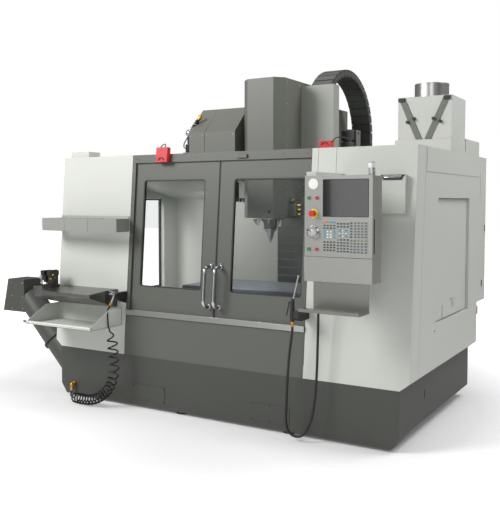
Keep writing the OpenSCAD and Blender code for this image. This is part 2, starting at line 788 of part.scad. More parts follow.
// Energy chain from the box on the head, over the top and down to the column
chain_sweep = 144;
core_in = 16;
core_side = 6;
leg_pitch = 76;
module link(length) block([0, chain_r - chain_h, -length / 2], [chain_w, chain_r, length / 2]);
module energy_chain() color(black) place() difference() {
    union() {
        length = 2 * (chain_r - chain_h) * tan(chain_step / 2) - link_gap;
        translate([chain_x0, chain_y, chain_z]) {
            rotate([90, 0, 90]) rotate_extrude(angle = chain_sweep)
                translate([chain_r - chain_h + core_in, core_side]) square([chain_h - 2 * core_in, chain_w - 2 * core_side]);
            for (a = [0:chain_step:chain_sweep]) rotate([a, 0, 0]) link(length);
        }
        block([chain_x0 + core_side, chain_y + chain_r - chain_h + core_in, chain_low],
            [chain_x1 - core_side, chain_y + chain_r - core_in, chain_z + 1]);
        translate([chain_x0, chain_y, chain_z - leg_pitch]) link(length);
        block([chain_x0, chain_y + chain_r - chain_h, chain_low], [chain_x1, chain_y + chain_r, chain_low + 30]);
    }
    // Cut level where the chain stands on the box
    block([chain_x0 - 1, chain_y - chain_r - 1, box_top - 400], [chain_x1 + 1, box_y1 + 60, box_top + seat]);
}

// Mist collector on the right roof

mist_x1 = side_x - 22;
mist_x0 = mist_x1 - mist_w;
mist_y = 980;
mist_neck = housing_h + 98;
mist_z1 = housing_h + mist_top;
strap_w = 50;
strap_t = 6;
knobs = [[80, 137], [130, 161], [282, 156], [333, 133]];
module strap(x0, x1, z0, z1) in_xz(mist_y - strap_t, mist_y + 1)
    polygon([[x0, z1], [x0 + strap_w, z1], [x1 + strap_w, z0], [x1, z0]]);
module mist_collector() place() {
    color(light_grey) {
        block([mist_x0 - 50, mist_y - 50, housing_h + seat], [mist_x1 + 8, mist_y + mist_d + 40, housing_h + 24]);
        block([mist_x0 - 20, mist_y - 14, housing_h + 23], [mist_x1, mist_y + mist_d + 10, mist_neck + 1]);
        block([mist_x0, mist_y, mist_neck], [mist_x1, mist_y + mist_d, mist_z1]);
        translate([mist_x0 + mist_w / 2 - 4, mist_y + mist_d / 2, mist_z1 - 1]) cylinder(r = drum_r, h = drum_h + 1);
        // Junction box behind it
        block([mist_x1 - 130, mist_y + mist_d + 39, housing_h + seat], [mist_x1 - 2, housing_d + 50, mist_neck + 28]);
    }
    color(cover_grey) {
        strap(mist_x0 + 4, mist_x0 + 142, mist_neck + 6, mist_z1 - 4);
        strap(mist_x1 - 60, mist_x1 - 206, mist_neck + 6, mist_z1 - 4);
    }
    color(black) {
        for (x = [mist_x0 + 4, mist_x1 - 60])
            block([x, mist_y - 14, mist_z1 - 34], [x + strap_w, mist_y - strap_t + 1, mist_z1 - 6]);
        for (p = knobs) rod_y(mist_x0 + p[0], mist_y - 24, mist_y + 1, mist_neck + p[1], 12);
    }
}

// Electrical cabinet on the rear, its door and its main switch

cab_x0 = 620;
cab_d = 205;
cab_rear = max(housing_d, housing_low_d) + cab_d;
hinge_x = cab_x0 + 12;
hinge_y = cab_rear + 11;
hinge_r = 9;
hinge_pin_r = 4;
hinge_low = step_z + 121;
hinge_top = housing_h - 154;
hinge_z = [hinge_low, (hinge_low + hinge_top) / 2, hinge_top];
knuckle_h = 40;
switch_y = housing_low_d + 44;
switch_z = step_z - 71;
switch_box_h = 159;
switch_box_rear = max(housing_d, housing_low_d) + 50;
plate_z0 = step_z - 133;
plate_z1 = step_z - 9;
switch_x = side_x - 30;
switch_r = 8;
module electrical_cabinet() place() {
    color(light_grey) difference() {
        union() {
            block([cab_x0, housing_d + seat, step_z], [side_x, cab_rear, housing_h]);
            block([switch_x - 90, housing_low_d + 8, step_z - switch_box_h], [switch_x, switch_box_rear, step_z - seat]);
            block([switch_x - 90, max(housing_d, housing_low_d) + seat, step_z - 1], [switch_x, switch_box_rear, step_z + 1]);
            // Fixed halves of the hinges with their pins
            for (z = hinge_z) {
                translate([hinge_x, hinge_y, z]) cylinder(r = hinge_r, h = knuckle_h);
                translate([hinge_x, hinge_y, z]) cylinder(r = hinge_pin_r, h = 2 * knuckle_h - 6);
                block([cab_x0, cab_rear - 1, z], [hinge_x, hinge_y, z + knuckle_h]);
            }
        }
        block([side_x - 5, housing_d + 8, housing_h - 346], [side_x + 1, housing_d + 16, housing_h - 139]);
        rod_x(switch_x - 60, switch_x + 1, switch_y, switch_z, switch_r + run_fit);
    }
    // Latches near the rear edge and the switch's plate
    color(black) for (p = [[cab_rear - 34, housing_h - 600], [cab_rear - 115, step_z + 146]])
        block([side_x - 1, p[0] - 9, p[1] - 28], [side_x + cover_t, p[0] + 9, p[1] + 28]);
    color(yellow) difference() {
        block([switch_x - 1, switch_y - 28, plate_z0], [switch_x + 4, switch_y + 28, plate_z1]);
        rod_x(switch_x - 2, switch_x + 5, switch_y, switch_z, switch_r + run_fit);
    }
}

module cabinet_door() color(light_grey) place() difference() {
    union() {
        block([hinge_x + hinge_r + 3, cab_rear + seat, step_z + 21], [side_x - 16, cab_rear + 21, housing_h - 20]);
        for (z = hinge_z) translate([hinge_x, hinge_y, z + knuckle_h + seat]) {
            cylinder(r = hinge_r, h = knuckle_h - 2);
            block([0, -6, 0], [hinge_r + 4, 6, knuckle_h - 2]);
        }
        // Two turn latches on the free edge
        for (z = [step_z + 381, housing_h - 374]) rod_y(side_x - 60, cab_rear + 20, cab_rear + 30, z, 22);
    }
    for (z = hinge_z) translate([hinge_x, hinge_y, z + knuckle_h]) cylinder(r = hinge_pin_r + run_fit, h = knuckle_h);
}

module main_switch() color(red) place() {
    rod_x(switch_x - 50, switch_x + 20, switch_y, switch_z, switch_r);
    rod_x(switch_x + 4 + seat, switch_x + 12, switch_y, switch_z, 25);
    block([switch_x + 11, switch_y - 9, switch_z - 34], [switch_x + 26, switch_y + 9, switch_z + 34]);
}

// Door interlock switches on the header and behind the right panel
module interlock_switches() color(red) place() {
    leaned() block([-544, -42, up(1946)], [-436, -seat, up(2062)]);
    block([844, front_y(housing_h) + 12, housing_h + seat], [934, front_y(housing_h) + 64, housing_h + 50]);
}

// Pendant: its frame starts at the screen's lower left corner, with X right, Y back, Z up

pend_at = [1113, -353, 1548];
pend_left = -130;
pend_right = pend_left + pend_w;
pend_top = 256;
pend_bottom = pend_top - pend_h;
crease_z = -252;
pivot_at = [1016, -120];
module at_pendant() place() translate(pend_at) rotate([0, 0, pend_turn]) children();

// The pivot's place in the pendant's own frame
pivot_u = (pivot_at[0] - pend_at[0]) * cos(pend_turn) + (pivot_at[1] - pend_at[1]) * sin(pend_turn);
pivot_v = (pivot_at[1] - pend_at[1]) * cos(pend_turn) - (pivot_at[0] - pend_at[0]) * sin(pend_turn);

// Controls on the face, right and up
start_at = [-97, -206];
hold_at = [-42, -205];
on_at = [-98, 117];
off_at = [-42, 117];
stop_at = [-63, 19];
wheel_at = [-68, -97];
badge_at = [-68, 205];
well = 26;
stop_well = 40;
wheel_well = 30;
bezel_t = 3;
pin_depth = 34;
module control(at, y0, y1, r) rod_y(at[0], y0, y1, at[1], r);
module pendant_housing() color(steel) at_pendant() difference() {
    union() {
        // Face plate, with the lower panel standing a little proud of it
        block([pend_left, 0, crease_z], [pend_right, 4, pend_top]);
        in_yz(pend_left, pend_right) polygon([
            [4, pend_bottom], [-3, pend_bottom], [-8, crease_z - 3], [0, crease_z - 3], [0, crease_z + 1], [4, crease_z + 1]
        ]);
        // Housing, wider at its foot
        block([pend_left + 4, 3, pend_bottom + 1], [pend_right - 4, pend_d, pend_top - 4]);
        // Membrane keypad, button collars and plain badge
        block([2, -1.2, -212], [300, 1, -28]);
        for (at = [start_at, hold_at, on_at, off_at]) control(at, -4, 1, button_r + 4);
        control(stop_at, -bezel_t, 1, 29);
        control(wheel_at, -bezel_t, 1, wheel_r + 5);
        control(badge_at, -bezel_t, 1, 34);
        // Spine and pivot tube behind the housing
        block([pivot_u - pivot_r, pend_d - 1, pend_bottom], [pivot_u + pivot_r, pivot_v, pend_top]);
        translate([pivot_u, pivot_v, pend_bottom]) cylinder(r = pivot_r, h = pend_h);
    }
    block([0, -1, 2], [screen_w, 4, 2 + screen_h]);
    for (at = [start_at, hold_at, on_at, off_at]) control(at, -bezel_t * 2, well, button_r + run_fit);
    control(stop_at, -bezel_t * 2, stop_well, stop_stem_r + run_fit);
    control(wheel_at, -bezel_t * 2, wheel_well, wheel_shaft_r + run_fit);
    // Slot down the right side
    block([pend_right - 12, 34, -226], [pend_right + 1, 48, -14]);
    // Sockets for the pivot pins
    translate([pivot_u, pivot_v, pend_bottom - 1]) cylinder(r = pin_r + run_fit, h = pin_depth + 1);
    translate([pivot_u, pivot_v, pend_top - pin_depth]) cylinder(r = pin_r + run_fit, h = pin_depth + 1);
}

module screen() color(black) at_pendant()
    block([seat, 0.5, 2 + seat], [screen_w - seat, 4 - seat, 2 + screen_h - seat]);

button_out = 12;
module push_button(at) at_pendant() control(at, -button_out, well - button_stroke - 1, button_r);
module start_button() color(green) push_button(start_at);
module hold_button() color(red) push_button(hold_at);
module on_button() color(green) push_button(on_at);
module off_button() color(red) push_button(off_at);

module stop_button() color(red) at_pendant() {
    control(stop_at, -22, stop_well - stop_stroke - 1, stop_stem_r);
    control(stop_at, -38, -bezel_t - stop_stroke - 5, stop_r);
}

module jog_wheel() color(steel) at_pendant() {
    control(wheel_at, -20, wheel_well - 2, wheel_shaft_r);
    control(wheel_at, -23, -bezel_t - seat, wheel_r);
    control(wheel_at + [-17, 12], -33, -22, 8);
}

// Tray hung under the pendant, with a row of holes in its floor
tray_x0 = -67;
tray_x1 = 312;
tray_low = -587;
tray_lip = 20;
module pendant_tray() color(steel) at_pendant() {
    z1 = pend_bottom - seat;
    front = thin_t - tray_d;
    block([tray_x0, thin_t, tray_low], [tray_x1, 2 * thin_t, z1]);
    block([tray_x0, thin_t, z1 - thin_t], [tray_x1, 60, z1]);
    difference() {
        block([tray_x0 - 30, front, tray_low], [tray_x1, thin_t + 1, tray_low + thin_t]);
        for (x = [tray_x0 + 10:24:tray_x1 - 10]) translate([x, front + 24, tray_low - 1]) cylinder(r = 6, h = thin_t + 2);
    }
    block([tray_x0 - 30, front, tray_low], [tray_x1, front + thin_t, tray_low + tray_lip]);
}

beacon_at = [308, 40];
module beacon() at_pendant() translate([beacon_at[0], beacon_at[1], pend_top - 4 + seat]) {
    color(steel) cylinder(r = 20, h = 48);
    color(light_grey) translate([0, 0, 47]) cylinder(r = 22, h = 28);
}

// Arm on the panel that carries the pendant's pivot from above and from below
arm_w = 67;
arm_t = 26;
arm_front = -325;
pivot_reach = 40;
module arm_plate(y0, z) in_yz(pivot_at[0] - arm_w / 2, pivot_at[0] + arm_w / 2) polygon([
    [y0, z], [front_y(z) - seat, z], [front_y(z + arm_t) - seat, z + arm_t], [y0, z + arm_t]
]);
module pendant_arm() color(light_grey) place() {
    z_top = pend_at[2] + pend_top + seat;
    z_low = pend_at[2] + pend_bottom - seat;
    arm_plate(arm_front, z_top);
    arm_plate(pivot_at[1] - pivot_reach, z_low - arm_t);
    translate([pivot_at[0], pivot_at[1], z_top - pin_depth + 4]) cylinder(r = pin_r, h = pin_depth);
    translate([pivot_at[0], pivot_at[1], z_low - 6]) cylinder(r = pin_r, h = pin_depth);
}

// Document holder on the right panel, with its clip
holder_x0 = 1325;
holder_x1 = 1497;
holder_z0 = 1561;
holder_z1 = 1814;
holder_d0 = 28;
holder_d1 = 44;
module document_holder() place() leaned() {
    color(light_grey) difference() {
        in_yz(holder_x0, holder_x1) polygon([
            [-seat, up(holder_z0)], [-holder_d0, up(holder_z0)], [-holder_d1, up(holder_z1)], [-seat, up(holder_z1)]
        ]);
        in_yz(holder_x0 + thin_t, holder_x1 - thin_t) polygon([
            [-seat - thin_t, up(holder_z0) + thin_t], [thin_t - holder_d0, up(holder_z0) + thin_t],
            [thin_t - holder_d1, up(holder_z1) + 1], [-seat - thin_t, up(holder_z1) + 1]
        ]);
    }
    color(steel) {
        block([holder_x0 + 20, -holder_d1 - 4, up(holder_z1) - 34], [holder_x1 - 26, -holder_d1 + 2, up(holder_z1) - 8]);
        rod_x(holder_x0 + 18, holder_x1 - 24, -holder_d1 - 6, up(holder_z1) - 12, 6);
    }
}

// Left side: tool tray, work shelf, scrap bin and vise

tt_x0 = -1605;
tt_low = 1398;
tt_top = 1502;
tt_back = front_y(tt_low) - seat;
tt_bend = 0.7;
module tt_plan(inset = 0) {
    x1 = tt_x0 + tooltray_l;
    polygon([
        [tt_x0 + 45 + inset, tt_back - inset], [tt_x0 + inset, tt_back - tooltray_d + 10 + inset],
        [tt_x0 + tt_bend * tooltray_l, tt_back - tooltray_d - 32 + inset],
        [x1 + 36 - inset, tt_back - tooltray_d + 6 + inset], [x1 + 8 - inset, tt_back - inset]
    ]);
}
pocket_pitch = 80;
module tool_tray() color(light_grey) place() {
    difference() {
        in_xy(tt_low, tt_top) tt_plan();
        in_xy(tt_low - 1, tt_top - thin_t) tt_plan(thin_t);
        for (i = [0:8], j = [0, 1])
            translate([tt_x0 + 76 + i * pocket_pitch, tt_back - 56 - j * pocket_pitch, tt_top - 10])
                cylinder(r = pocket_r, h = 12);
    }
    // Rear flange against the leaning panel
    in_yz(tt_x0 + 46, tt_x0 + tooltray_l + 7) polygon([
        [tt_back - thin_t, tt_top - thin_t], [front_y(tt_top) - seat, tt_top - thin_t],
        [front_y(tt_top + 20) - seat, tt_top + 20], [front_y(tt_top + 20) - seat - thin_t, tt_top + 20],
        [tt_back - thin_t, tt_top]
    ]);
}

shelf_front = front_y(shelf_z) - shelf_d;
shelf_low = 785;
shelf_lip = 26;
module work_shelf() color(steel) place() intersection() {
    in_yz(-1700, -780) polygon([
        [front_y(shelf_low) - seat, shelf_low], [shelf_front, shelf_z - shelf_lip],
        [shelf_front, shelf_z], [front_y(shelf_z) - seat, shelf_z]
    ]);
    in_xy(shelf_low - 10, shelf_z + 10) polygon([
        [-1552, 80], [-1660, -156], [-1530, -246], [-1400, -304], [-1250, -345],
        [-1100, -366], [-960, -372], [-830, -369], [-905, -110], [-905, 80]
    ]);
}

bin_x0 = -1545;
bin_z0 = 645;
bin_rim = 785;
bin_lip_z = 673;
bin_lip = 38;
module shelf_bin() color(steel) place() {
    back = front_y(bin_z0) - seat;
    front = back - bin_d;
    difference() {
        in_yz(bin_x0, bin_x0 + bin_l) polygon([
            [back, bin_z0], [front, bin_z0], [front, bin_lip_z], [front_y(bin_rim) - seat, bin_rim - seat]
        ]);
        in_yz(bin_x0 + thin_t, bin_x0 + bin_l - thin_t) polygon([
            [back - thin_t, bin_z0 + thin_t], [front + thin_t, bin_z0 + thin_t], [front + thin_t, bin_rim],
            [front_y(bin_rim) - seat - thin_t, bin_rim]
        ]);
    }
    // Folded front lip, longer at its left end
    block([bin_x0 - bin_lip, front - 8, bin_lip_z - 14], [bin_x0 + bin_l, front + 1, bin_lip_z]);
}

// Bench vise on the left end of the shelf
vise_at = [-1582, -150, shelf_z + seat];
vise_screw_r = 8;
vise_screw_y = 55;
vise_screw_z = 72;
jaw_x = 70;
module at_vise() place() translate(vise_at) children();
module vise() color(black) at_vise() difference() {
    union() {
        block([10, 6, 0], [120, 104, 18]);
        translate([72, vise_screw_y, 0]) cylinder(r = 46, h = 34);
        block([jaw_x, 20, 17], [118, 90, 96]);
        block([jaw_x, 6, 94], [112, 104, 134]);
        block([jaw_x + 30, 30, 133], [118, 80, 142]);
    }
    rod_x(jaw_x - 21, 119, vise_screw_y, vise_screw_z, vise_screw_r + run_fit);
}
module vise_jaw() color(black) at_vise() translate([jaw_x - vise_gap, 0, 0]) difference() {
    union() {
        block([-42, 6, 94], [0, 104, 134]);
        block([-38, 22, 52], [0, 88, 95]);
        block([-38, 34, 34 + seat], [0, 76, 53]);
    }
    rod_x(-43, 1, vise_screw_y, vise_screw_z, vise_screw_r + run_fit);
}
handle_l = 50;
module vise_screw() color(steel) at_vise() {
    x0 = jaw_x - vise_gap - 38;
    rod_x(x0 - 60, 112, vise_screw_y, vise_screw_z, vise_screw_r);
    rod_x(x0 - 60, x0 - 34, vise_screw_y, vise_screw_z, 14);
    translate([x0 - 47, vise_screw_y, vise_screw_z - handle_l]) cylinder(r = 5, h = 2 * handle_l);
    for (z = [-handle_l, handle_l]) translate([x0 - 47, vise_screw_y, vise_screw_z + z]) sphere(r = 8);
}

// Chip auger rising to the left: a screw in a tube, with a discharge chute at its top

auger_slope = 45;
auger_z = 272;
auger_l = 720;
auger_wall = 4;
cap_l = 40;
chute_x0 = -2230;
collar_z = 232;
collar_t = 14;
chute_end = -1965;
chute_y0 = 20;
chute_y1 = 240;
chute_z0 = 662;
chute_z1 = 950;
// Frame along the auger's axis, starting where it meets the base side
module on_auger() translate([-base_x, auger_y, auger_z]) rotate([0, -auger_slope, 0]) children();
module auger_tube() color(dark_grey) place() {
    difference() {
        on_auger() {
            translate([0, 0, -150]) cylinder(r = auger_r, h = auger_l + 150);
            translate([0, 0, collar_z]) cylinder(r = auger_r + 16, h = collar_t);
            translate([0, 0, auger_l]) cylinder(r1 = auger_r, r2 = auger_r - 30, h = cap_l);
        }
        on_auger() translate([0, 0, -160]) cylinder(r = auger_r - auger_wall, h = auger_l + 160 - auger_wall);
        // Bearing of the screw's shaft
        on_auger() cylinder(r = auger_shaft_r + run_fit, h = auger_l + cap_l + 1);
        // Mouth on the underside, over the chute
        on_auger() block([-auger_r - 1, 8 - auger_r, auger_l - 190], [-50, auger_r - 8, auger_l - 30]);
        block([-base_x - seat, -100, -100], [0, 400, 700]);
    }
    // Discharge chute, open at its foot
    difference() {
        in_xz(chute_y0, chute_y1) polygon([
            [chute_end, chute_z0], [chute_x0, chute_z0], [chute_x0 + 66, chute_z1], [chute_end, chute_z1]
        ]);
        in_xz(chute_y0 + thin_t, chute_y1 - thin_t) polygon([
            [chute_end - thin_t, chute_z0 - 1], [chute_x0 + thin_t, chute_z0 - 1],
            [chute_x0 + 66 + thin_t, chute_z1 - thin_t], [chute_end - thin_t, chute_z1 - thin_t]
        ]);
        on_auger() cylinder(r = auger_r - auger_wall, h = auger_l - auger_wall);
    }
}

flight_pitch = 100;
flight_turns = 6;
flight_t = 6;
flight_z0 = 20;
flight_steps = 12;
// Helical flight, a ring of four points at each step
module flight(r0, r1, t, pitch, turns) {
    n = turns * flight_steps;
    polyhedron(
        points = [for (i = [0:n]) let (a = 360 * i / flight_steps, z = pitch * i / flight_steps)
            each [for (p = [[r0, 0], [r1, 0], [r1, t], [r0, t]]) [p[0] * cos(a), p[0] * sin(a), z + p[1]]]],
        faces = concat(
            [[3, 2, 1, 0]],
            [[4 * n, 4 * n + 1, 4 * n + 2, 4 * n + 3]],
            [for (i = [0:n - 1], k = [0:3]) [4 * i + k, 4 * i + (k + 1) % 4, 4 * i + 4 + (k + 1) % 4]],
            [for (i = [0:n - 1], k = [0:3]) [4 * i + k, 4 * i + 4 + (k + 1) % 4, 4 * i + 4 + k]]
        ),
        convexity = 2 * turns
    );
}
module auger_screw() color(steel) place() on_auger() {
    translate([0, 0, -60]) cylinder(r = auger_shaft_r, h = auger_l + cap_l + 90);
    translate([0, 0, flight_z0]) flight(auger_shaft_r - 3, flight_r, flight_t, flight_pitch, flight_turns);
}

// Air gun and wash-down gun with their holders

air_at = [-842, -75, 902];
air_r = 9;
air_back = 10;
air_tilt = 205;
air_grip_l = 72;
air_plug_l = 26;
wash_at = [772, -110, 790];
wash_r = 17;
module gun_holders() color(black) place() {
    // Air gun's holder on the left panel
    x = air_at[0] + air_back + seat;
    in_yz(x, x + 22) polygon([
        [front_y(825) - seat, 825], [-40, 850], [-86, 892], [-86, 914], [-50, 918], [front_y(918) - seat, 918]
    ]);
    // Wash-down gun's holder on the right panel
    in_yz(wash_at[0] + wash_r + seat, open_right + 30) polygon([
        [front_y(830) - seat, 830], [-90, 830], [-130, 850], [-130, 900], [front_y(900) - seat, 900]
    ]);
}

pin_gun_r = 2;
eye_r = 5;
eye_w = 6;
ear_t = 3;
// Pair of ears with a pin, on which a trigger lever turns
module ears(reach) {
    for (y = [-eye_w - seat - ear_t, eye_w + seat]) block([-eye_r, y, -reach], [eye_r, y + ear_t, eye_r]);
    rod_y(0, -eye_w - seat - 1, eye_w + seat + 1, 0, pin_gun_r);
}
module eye() rod_y(0, -eye_w, eye_w, 0, eye_r);
module eye_bore() rod_y(0, -eye_w - 1, eye_w + 1, 0, pin_gun_r + run_fit);
air_pivot = [0, 0, 15];
lever_open = 12;
module air_gun() place() translate(air_at) {
    color(steel) {
        rod_x(-50, air_back, 0, 0, air_r);
        rotate([0, air_tilt, 0]) cylinder(r = air_r, h = air_grip_l + 1);
        translate(air_pivot) ears(air_r);
    }
    color(brass) rotate([0, air_tilt, 0]) translate([0, 0, air_grip_l]) cylinder(r = 12, h = air_plug_l);
}
module air_gun_lever() color(steel) place() translate(air_at + air_pivot) difference() {
    union() {
        eye();
        rotate([0, lever_open, 0]) block([-52, 1 - eye_w, -1.5], [-3, eye_w - 1, 1.5]);
    }
    eye_bore();
}

// Brass elbows: the air hose's on the base, the wash-down hose's on the right panel
elbow_r = 13;
elbow_ball = 15;
elbow_l = 40;
air_end = [-1350, -34, 110];
wash_end = [948, -70, 1050];
module elbow(at, wall_y) translate(at) {
    rod_y(0, 0, wall_y - seat - at[1], 0, elbow_r);
    sphere(r = elbow_ball);
    translate([0, 0, -elbow_l]) cylinder(r = elbow_r, h = elbow_l);
}
module hose_elbows() color(brass) place() {
    elbow(air_end, 0);
    elbow(wash_end, front_y(wash_end[2] - elbow_r));
}

wash_pivot = [-25, 0, 165];
module wash_gun() place() translate(wash_at) {
    color(brass) cylinder(r = 13, h = 36);
    color(black) {
        translate([0, 0, 35]) cylinder(r = wash_r, h = 150);
        translate([0, 0, 170]) rotate([0, 14, 0]) cylinder(r = 9, h = 170);
        translate(wash_pivot) rotate([0, -90, 0]) ears(12);
    }
    color(brass) translate([0, 0, 170]) rotate([0, 14, 0]) translate([0, 0, 169]) cylinder(r = 12, h = 26);
}
module wash_lever() color(black) place() translate(wash_at + wash_pivot) difference() {
    union() {
        eye();
        rotate([0, lever_open, 0]) block([-1.5, 1 - eye_w, -95], [1.5, eye_w - 1, -3]);
    }
    eye_bore();
}

// Hoses, each a tube swept along hand chosen points

function unit(v) = v / norm(v);
function way(path, i) =
    i == 0 ? unit(path[1] - path[0])
    : i == len(path) - 1 ? unit(path[i] - path[i - 1])
    : unit(unit(path[i + 1] - path[i]) + unit(path[i] - path[i - 1]));
function ring(centre, along, side, r) =
    let (u = unit(cross(along, side)), v = cross(u, along))
    [for (k = [0:hose_sides - 1]) centre + r * (cos(360 * k / hose_sides) * u + sin(360 * k / hose_sides) * v)];
module tube_along(path, radii, side) {
    n = len(path);
    m = hose_sides;
    polyhedron(
        points = [for (i = [0:n - 1]) each ring(path[i], way(path, i), side, radii[i])],
        faces = concat(
            [[for (k = [m - 1:-1:0]) k]],
            [[for (k = [0:m - 1]) (n - 1) * m + k]],
            [for (i = [0:n - 2], k = [0:m - 1])
                [i * m + k, i * m + (k + 1) % m, (i + 1) * m + (k + 1) % m, (i + 1) * m + k]]
        ),
        convexity = 6
    );
}

// Air hose: plain at the gun, coiled down to the floor and along it, plain at the elbow
air_start = air_at + (air_grip_l + air_plug_l) * [sin(air_tilt), 0, cos(air_tilt)];
air_route = [
    [-884, -96, 792], [-866, -124, 776], [-850, -144, 750], [-842, -150, 710],
    [-838, -150, 660], [-814, -152, 604], [-798, -152, 540], [-788, -152, 440], [-784, -152, 340],
    [-800, -152, 240], [-850, -156, 150], [-930, -162, 84], [-1020, -164, 52],
    [-1110, -162, 46], [-1190, -156, 46], [-1250, -140, 46], [-1300, -100, 40],
    [-1340, -52, 28], [-1350, -34, 44]
];
air_path = concat([air_start, air_start + 14 * [sin(air_tilt), 0, cos(air_tilt)]], air_route, [air_end - [0, 0, elbow_l]]);
air_coil = [7, 17];
module air_hose() color(black) place() tube_along(air_path,
    [for (i = [0:len(air_path) - 1]) i < air_coil[0] || i > air_coil[1] ? air_d / 2 : coil_d / 2], [0, 1, 0]);

wash_route = [
    [772, -110, 760], [762, -112, 680], [750, -114, 580], [742, -116, 470],
    [736, -118, 360], [732, -118, 260], [728, -118, 180], [732, -118, 110], [748, -116, 54],
    [778, -114, 20], [812, -112, 18], [846, -108, 40], [876, -104, 84], [902, -98, 140],
    [920, -92, 210], [932, -88, 300], [940, -84, 400], [945, -80, 520], [947, -76, 660],
    [948, -72, 800], [948, -70, 920], [948, -70, 980]
];
wash_path = concat([wash_at], wash_route, [wash_end - [0, 0, elbow_l]]);
module wash_hose() color(black) place()
    tube_along(wash_path, [for (p = wash_path) wash_d / 2], [0, 1, 0.2]);

base_tank();
levelling_feet();
cover_plates();
left_housing();
right_housing();
side_window();
side_panel();
inner_walls();
door_frame();
sill();
left_door();
left_pane();
left_handle();
right_door();
right_pane();
right_handle();
saddle();
table();
column();
way_cover();
head();
chain_box();
spindle();
tool_holder();
coolant_block();
changer_shroud();
energy_chain();
mist_collector();
electrical_cabinet();
cabinet_door();
main_switch();
interlock_switches();
pendant_housing();
screen();
start_button();
hold_button();
on_button();
off_button();
stop_button();
jog_wheel();
pendant_tray();
beacon();
pendant_arm();
document_holder();
tool_tray();
work_shelf();
shelf_bin();
vise();
vise_jaw();
vise_screw();
auger_tube();
auger_screw();
air_gun();
air_gun_lever();
gun_holders();
hose_elbows();
air_hose();
wash_gun();
wash_lever();
wash_hose();
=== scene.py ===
"""Machining centre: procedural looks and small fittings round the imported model."""
import math

import bmesh
import bpy
from mathutils import Matrix, Vector


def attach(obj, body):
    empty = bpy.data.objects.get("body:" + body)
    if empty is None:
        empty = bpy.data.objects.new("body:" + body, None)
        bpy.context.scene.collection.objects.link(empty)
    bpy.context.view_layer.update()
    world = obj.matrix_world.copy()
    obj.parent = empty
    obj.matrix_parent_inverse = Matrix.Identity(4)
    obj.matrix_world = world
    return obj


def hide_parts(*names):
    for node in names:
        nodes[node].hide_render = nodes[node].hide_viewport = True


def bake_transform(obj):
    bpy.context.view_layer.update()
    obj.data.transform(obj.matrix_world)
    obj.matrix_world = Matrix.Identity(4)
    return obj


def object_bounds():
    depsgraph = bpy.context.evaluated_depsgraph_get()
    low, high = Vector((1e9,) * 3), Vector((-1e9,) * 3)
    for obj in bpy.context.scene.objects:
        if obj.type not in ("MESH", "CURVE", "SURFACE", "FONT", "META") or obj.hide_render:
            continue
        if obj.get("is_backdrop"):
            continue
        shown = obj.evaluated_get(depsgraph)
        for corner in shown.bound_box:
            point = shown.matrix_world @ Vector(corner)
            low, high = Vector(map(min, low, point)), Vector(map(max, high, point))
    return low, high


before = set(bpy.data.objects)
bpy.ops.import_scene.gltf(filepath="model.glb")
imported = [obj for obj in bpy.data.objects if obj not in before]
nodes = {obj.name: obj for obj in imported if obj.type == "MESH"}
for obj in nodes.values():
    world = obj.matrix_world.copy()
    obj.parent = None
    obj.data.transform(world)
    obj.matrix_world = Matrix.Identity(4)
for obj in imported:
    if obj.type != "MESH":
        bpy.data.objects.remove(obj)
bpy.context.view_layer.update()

# Frames of the drawing, in millimetres, taken to metres
SHIFT = Vector((333.5, -775.0, 0.0))
LEAN = math.radians(4.76)
BASE_H = 415.0
MM = Matrix.Scale(0.001, 4) @ Matrix.Translation(SHIFT)
LEANED = (MM @ Matrix.Translation((0, 0, BASE_H)) @ Matrix.Rotation(-LEAN, 4, "X")
          @ Matrix.Translation((0, 0, -BASE_H)))
PENDANT = MM @ Matrix.Translation((1113, -353, 1548)) @ Matrix.Rotation(math.radians(-1.65), 4, "Z")


def up(z):
    """Height on the lean for a height above the floor."""
    return BASE_H + (z - BASE_H) / math.cos(LEAN)


# Camera, at the photograph's place
cam_data = bpy.data.cameras.new("camera")
camera = bpy.data.objects.new("camera", cam_data)
bpy.context.scene.collection.objects.link(camera)
camera.location = (3.4189, -5.3257, 1.6446)
YAW, PITCH, ROLL = math.radians(30.543), math.radians(-2.783), 0.0006
camera.matrix_world = (
    Matrix.Translation(camera.location) @ Matrix.Rotation(YAW, 4, "Z")
    @ Matrix.Rotation(math.pi / 2 + PITCH, 4, "X") @ Matrix.Rotation(ROLL, 4, "Z")
)
IMAGE_W, IMAGE_H, FOCAL_PX = 500, 531, 739.6
CENTRE_PX = (253.5, 237.06)
SENSOR = 36
cam_data.sensor_width = SENSOR
cam_data.lens = FOCAL_PX / IMAGE_H * SENSOR
cam_data.shift_x = (IMAGE_W / 2 - CENTRE_PX[0]) / IMAGE_H
cam_data.shift_y = (CENTRE_PX[1] - IMAGE_H / 2) / IMAGE_H
cam_data.clip_end = 100
bpy.context.scene.camera = camera
bpy.context.scene.view_settings.view_transform = "Standard"


# Materials

# Slow drift in colour, its share and the grain's, and the rounding of edges, in metres
BLOTCH_SCALE, SLOW_SHARE, FINE_SHARE, EDGE_RADIUS = 3.0, 0.6, 0.4, 0.0025
# Cosines between a face and its rounded edge, from where the painted edge highlight begins to where
# it is full
EDGE_HIGHLIGHT_FROM, EDGE_HIGHLIGHT_TO = 0.995, 0.8


def rgb(r, g, b):
    """Linear colour of an sRGB colour in 0 to 255."""
    parts = (c / 255 for c in (r, g, b))
    return (*(c / 12.92 if c <= 0.04045 else ((c + 0.055) / 1.055) ** 2.4 for c in parts), 1)


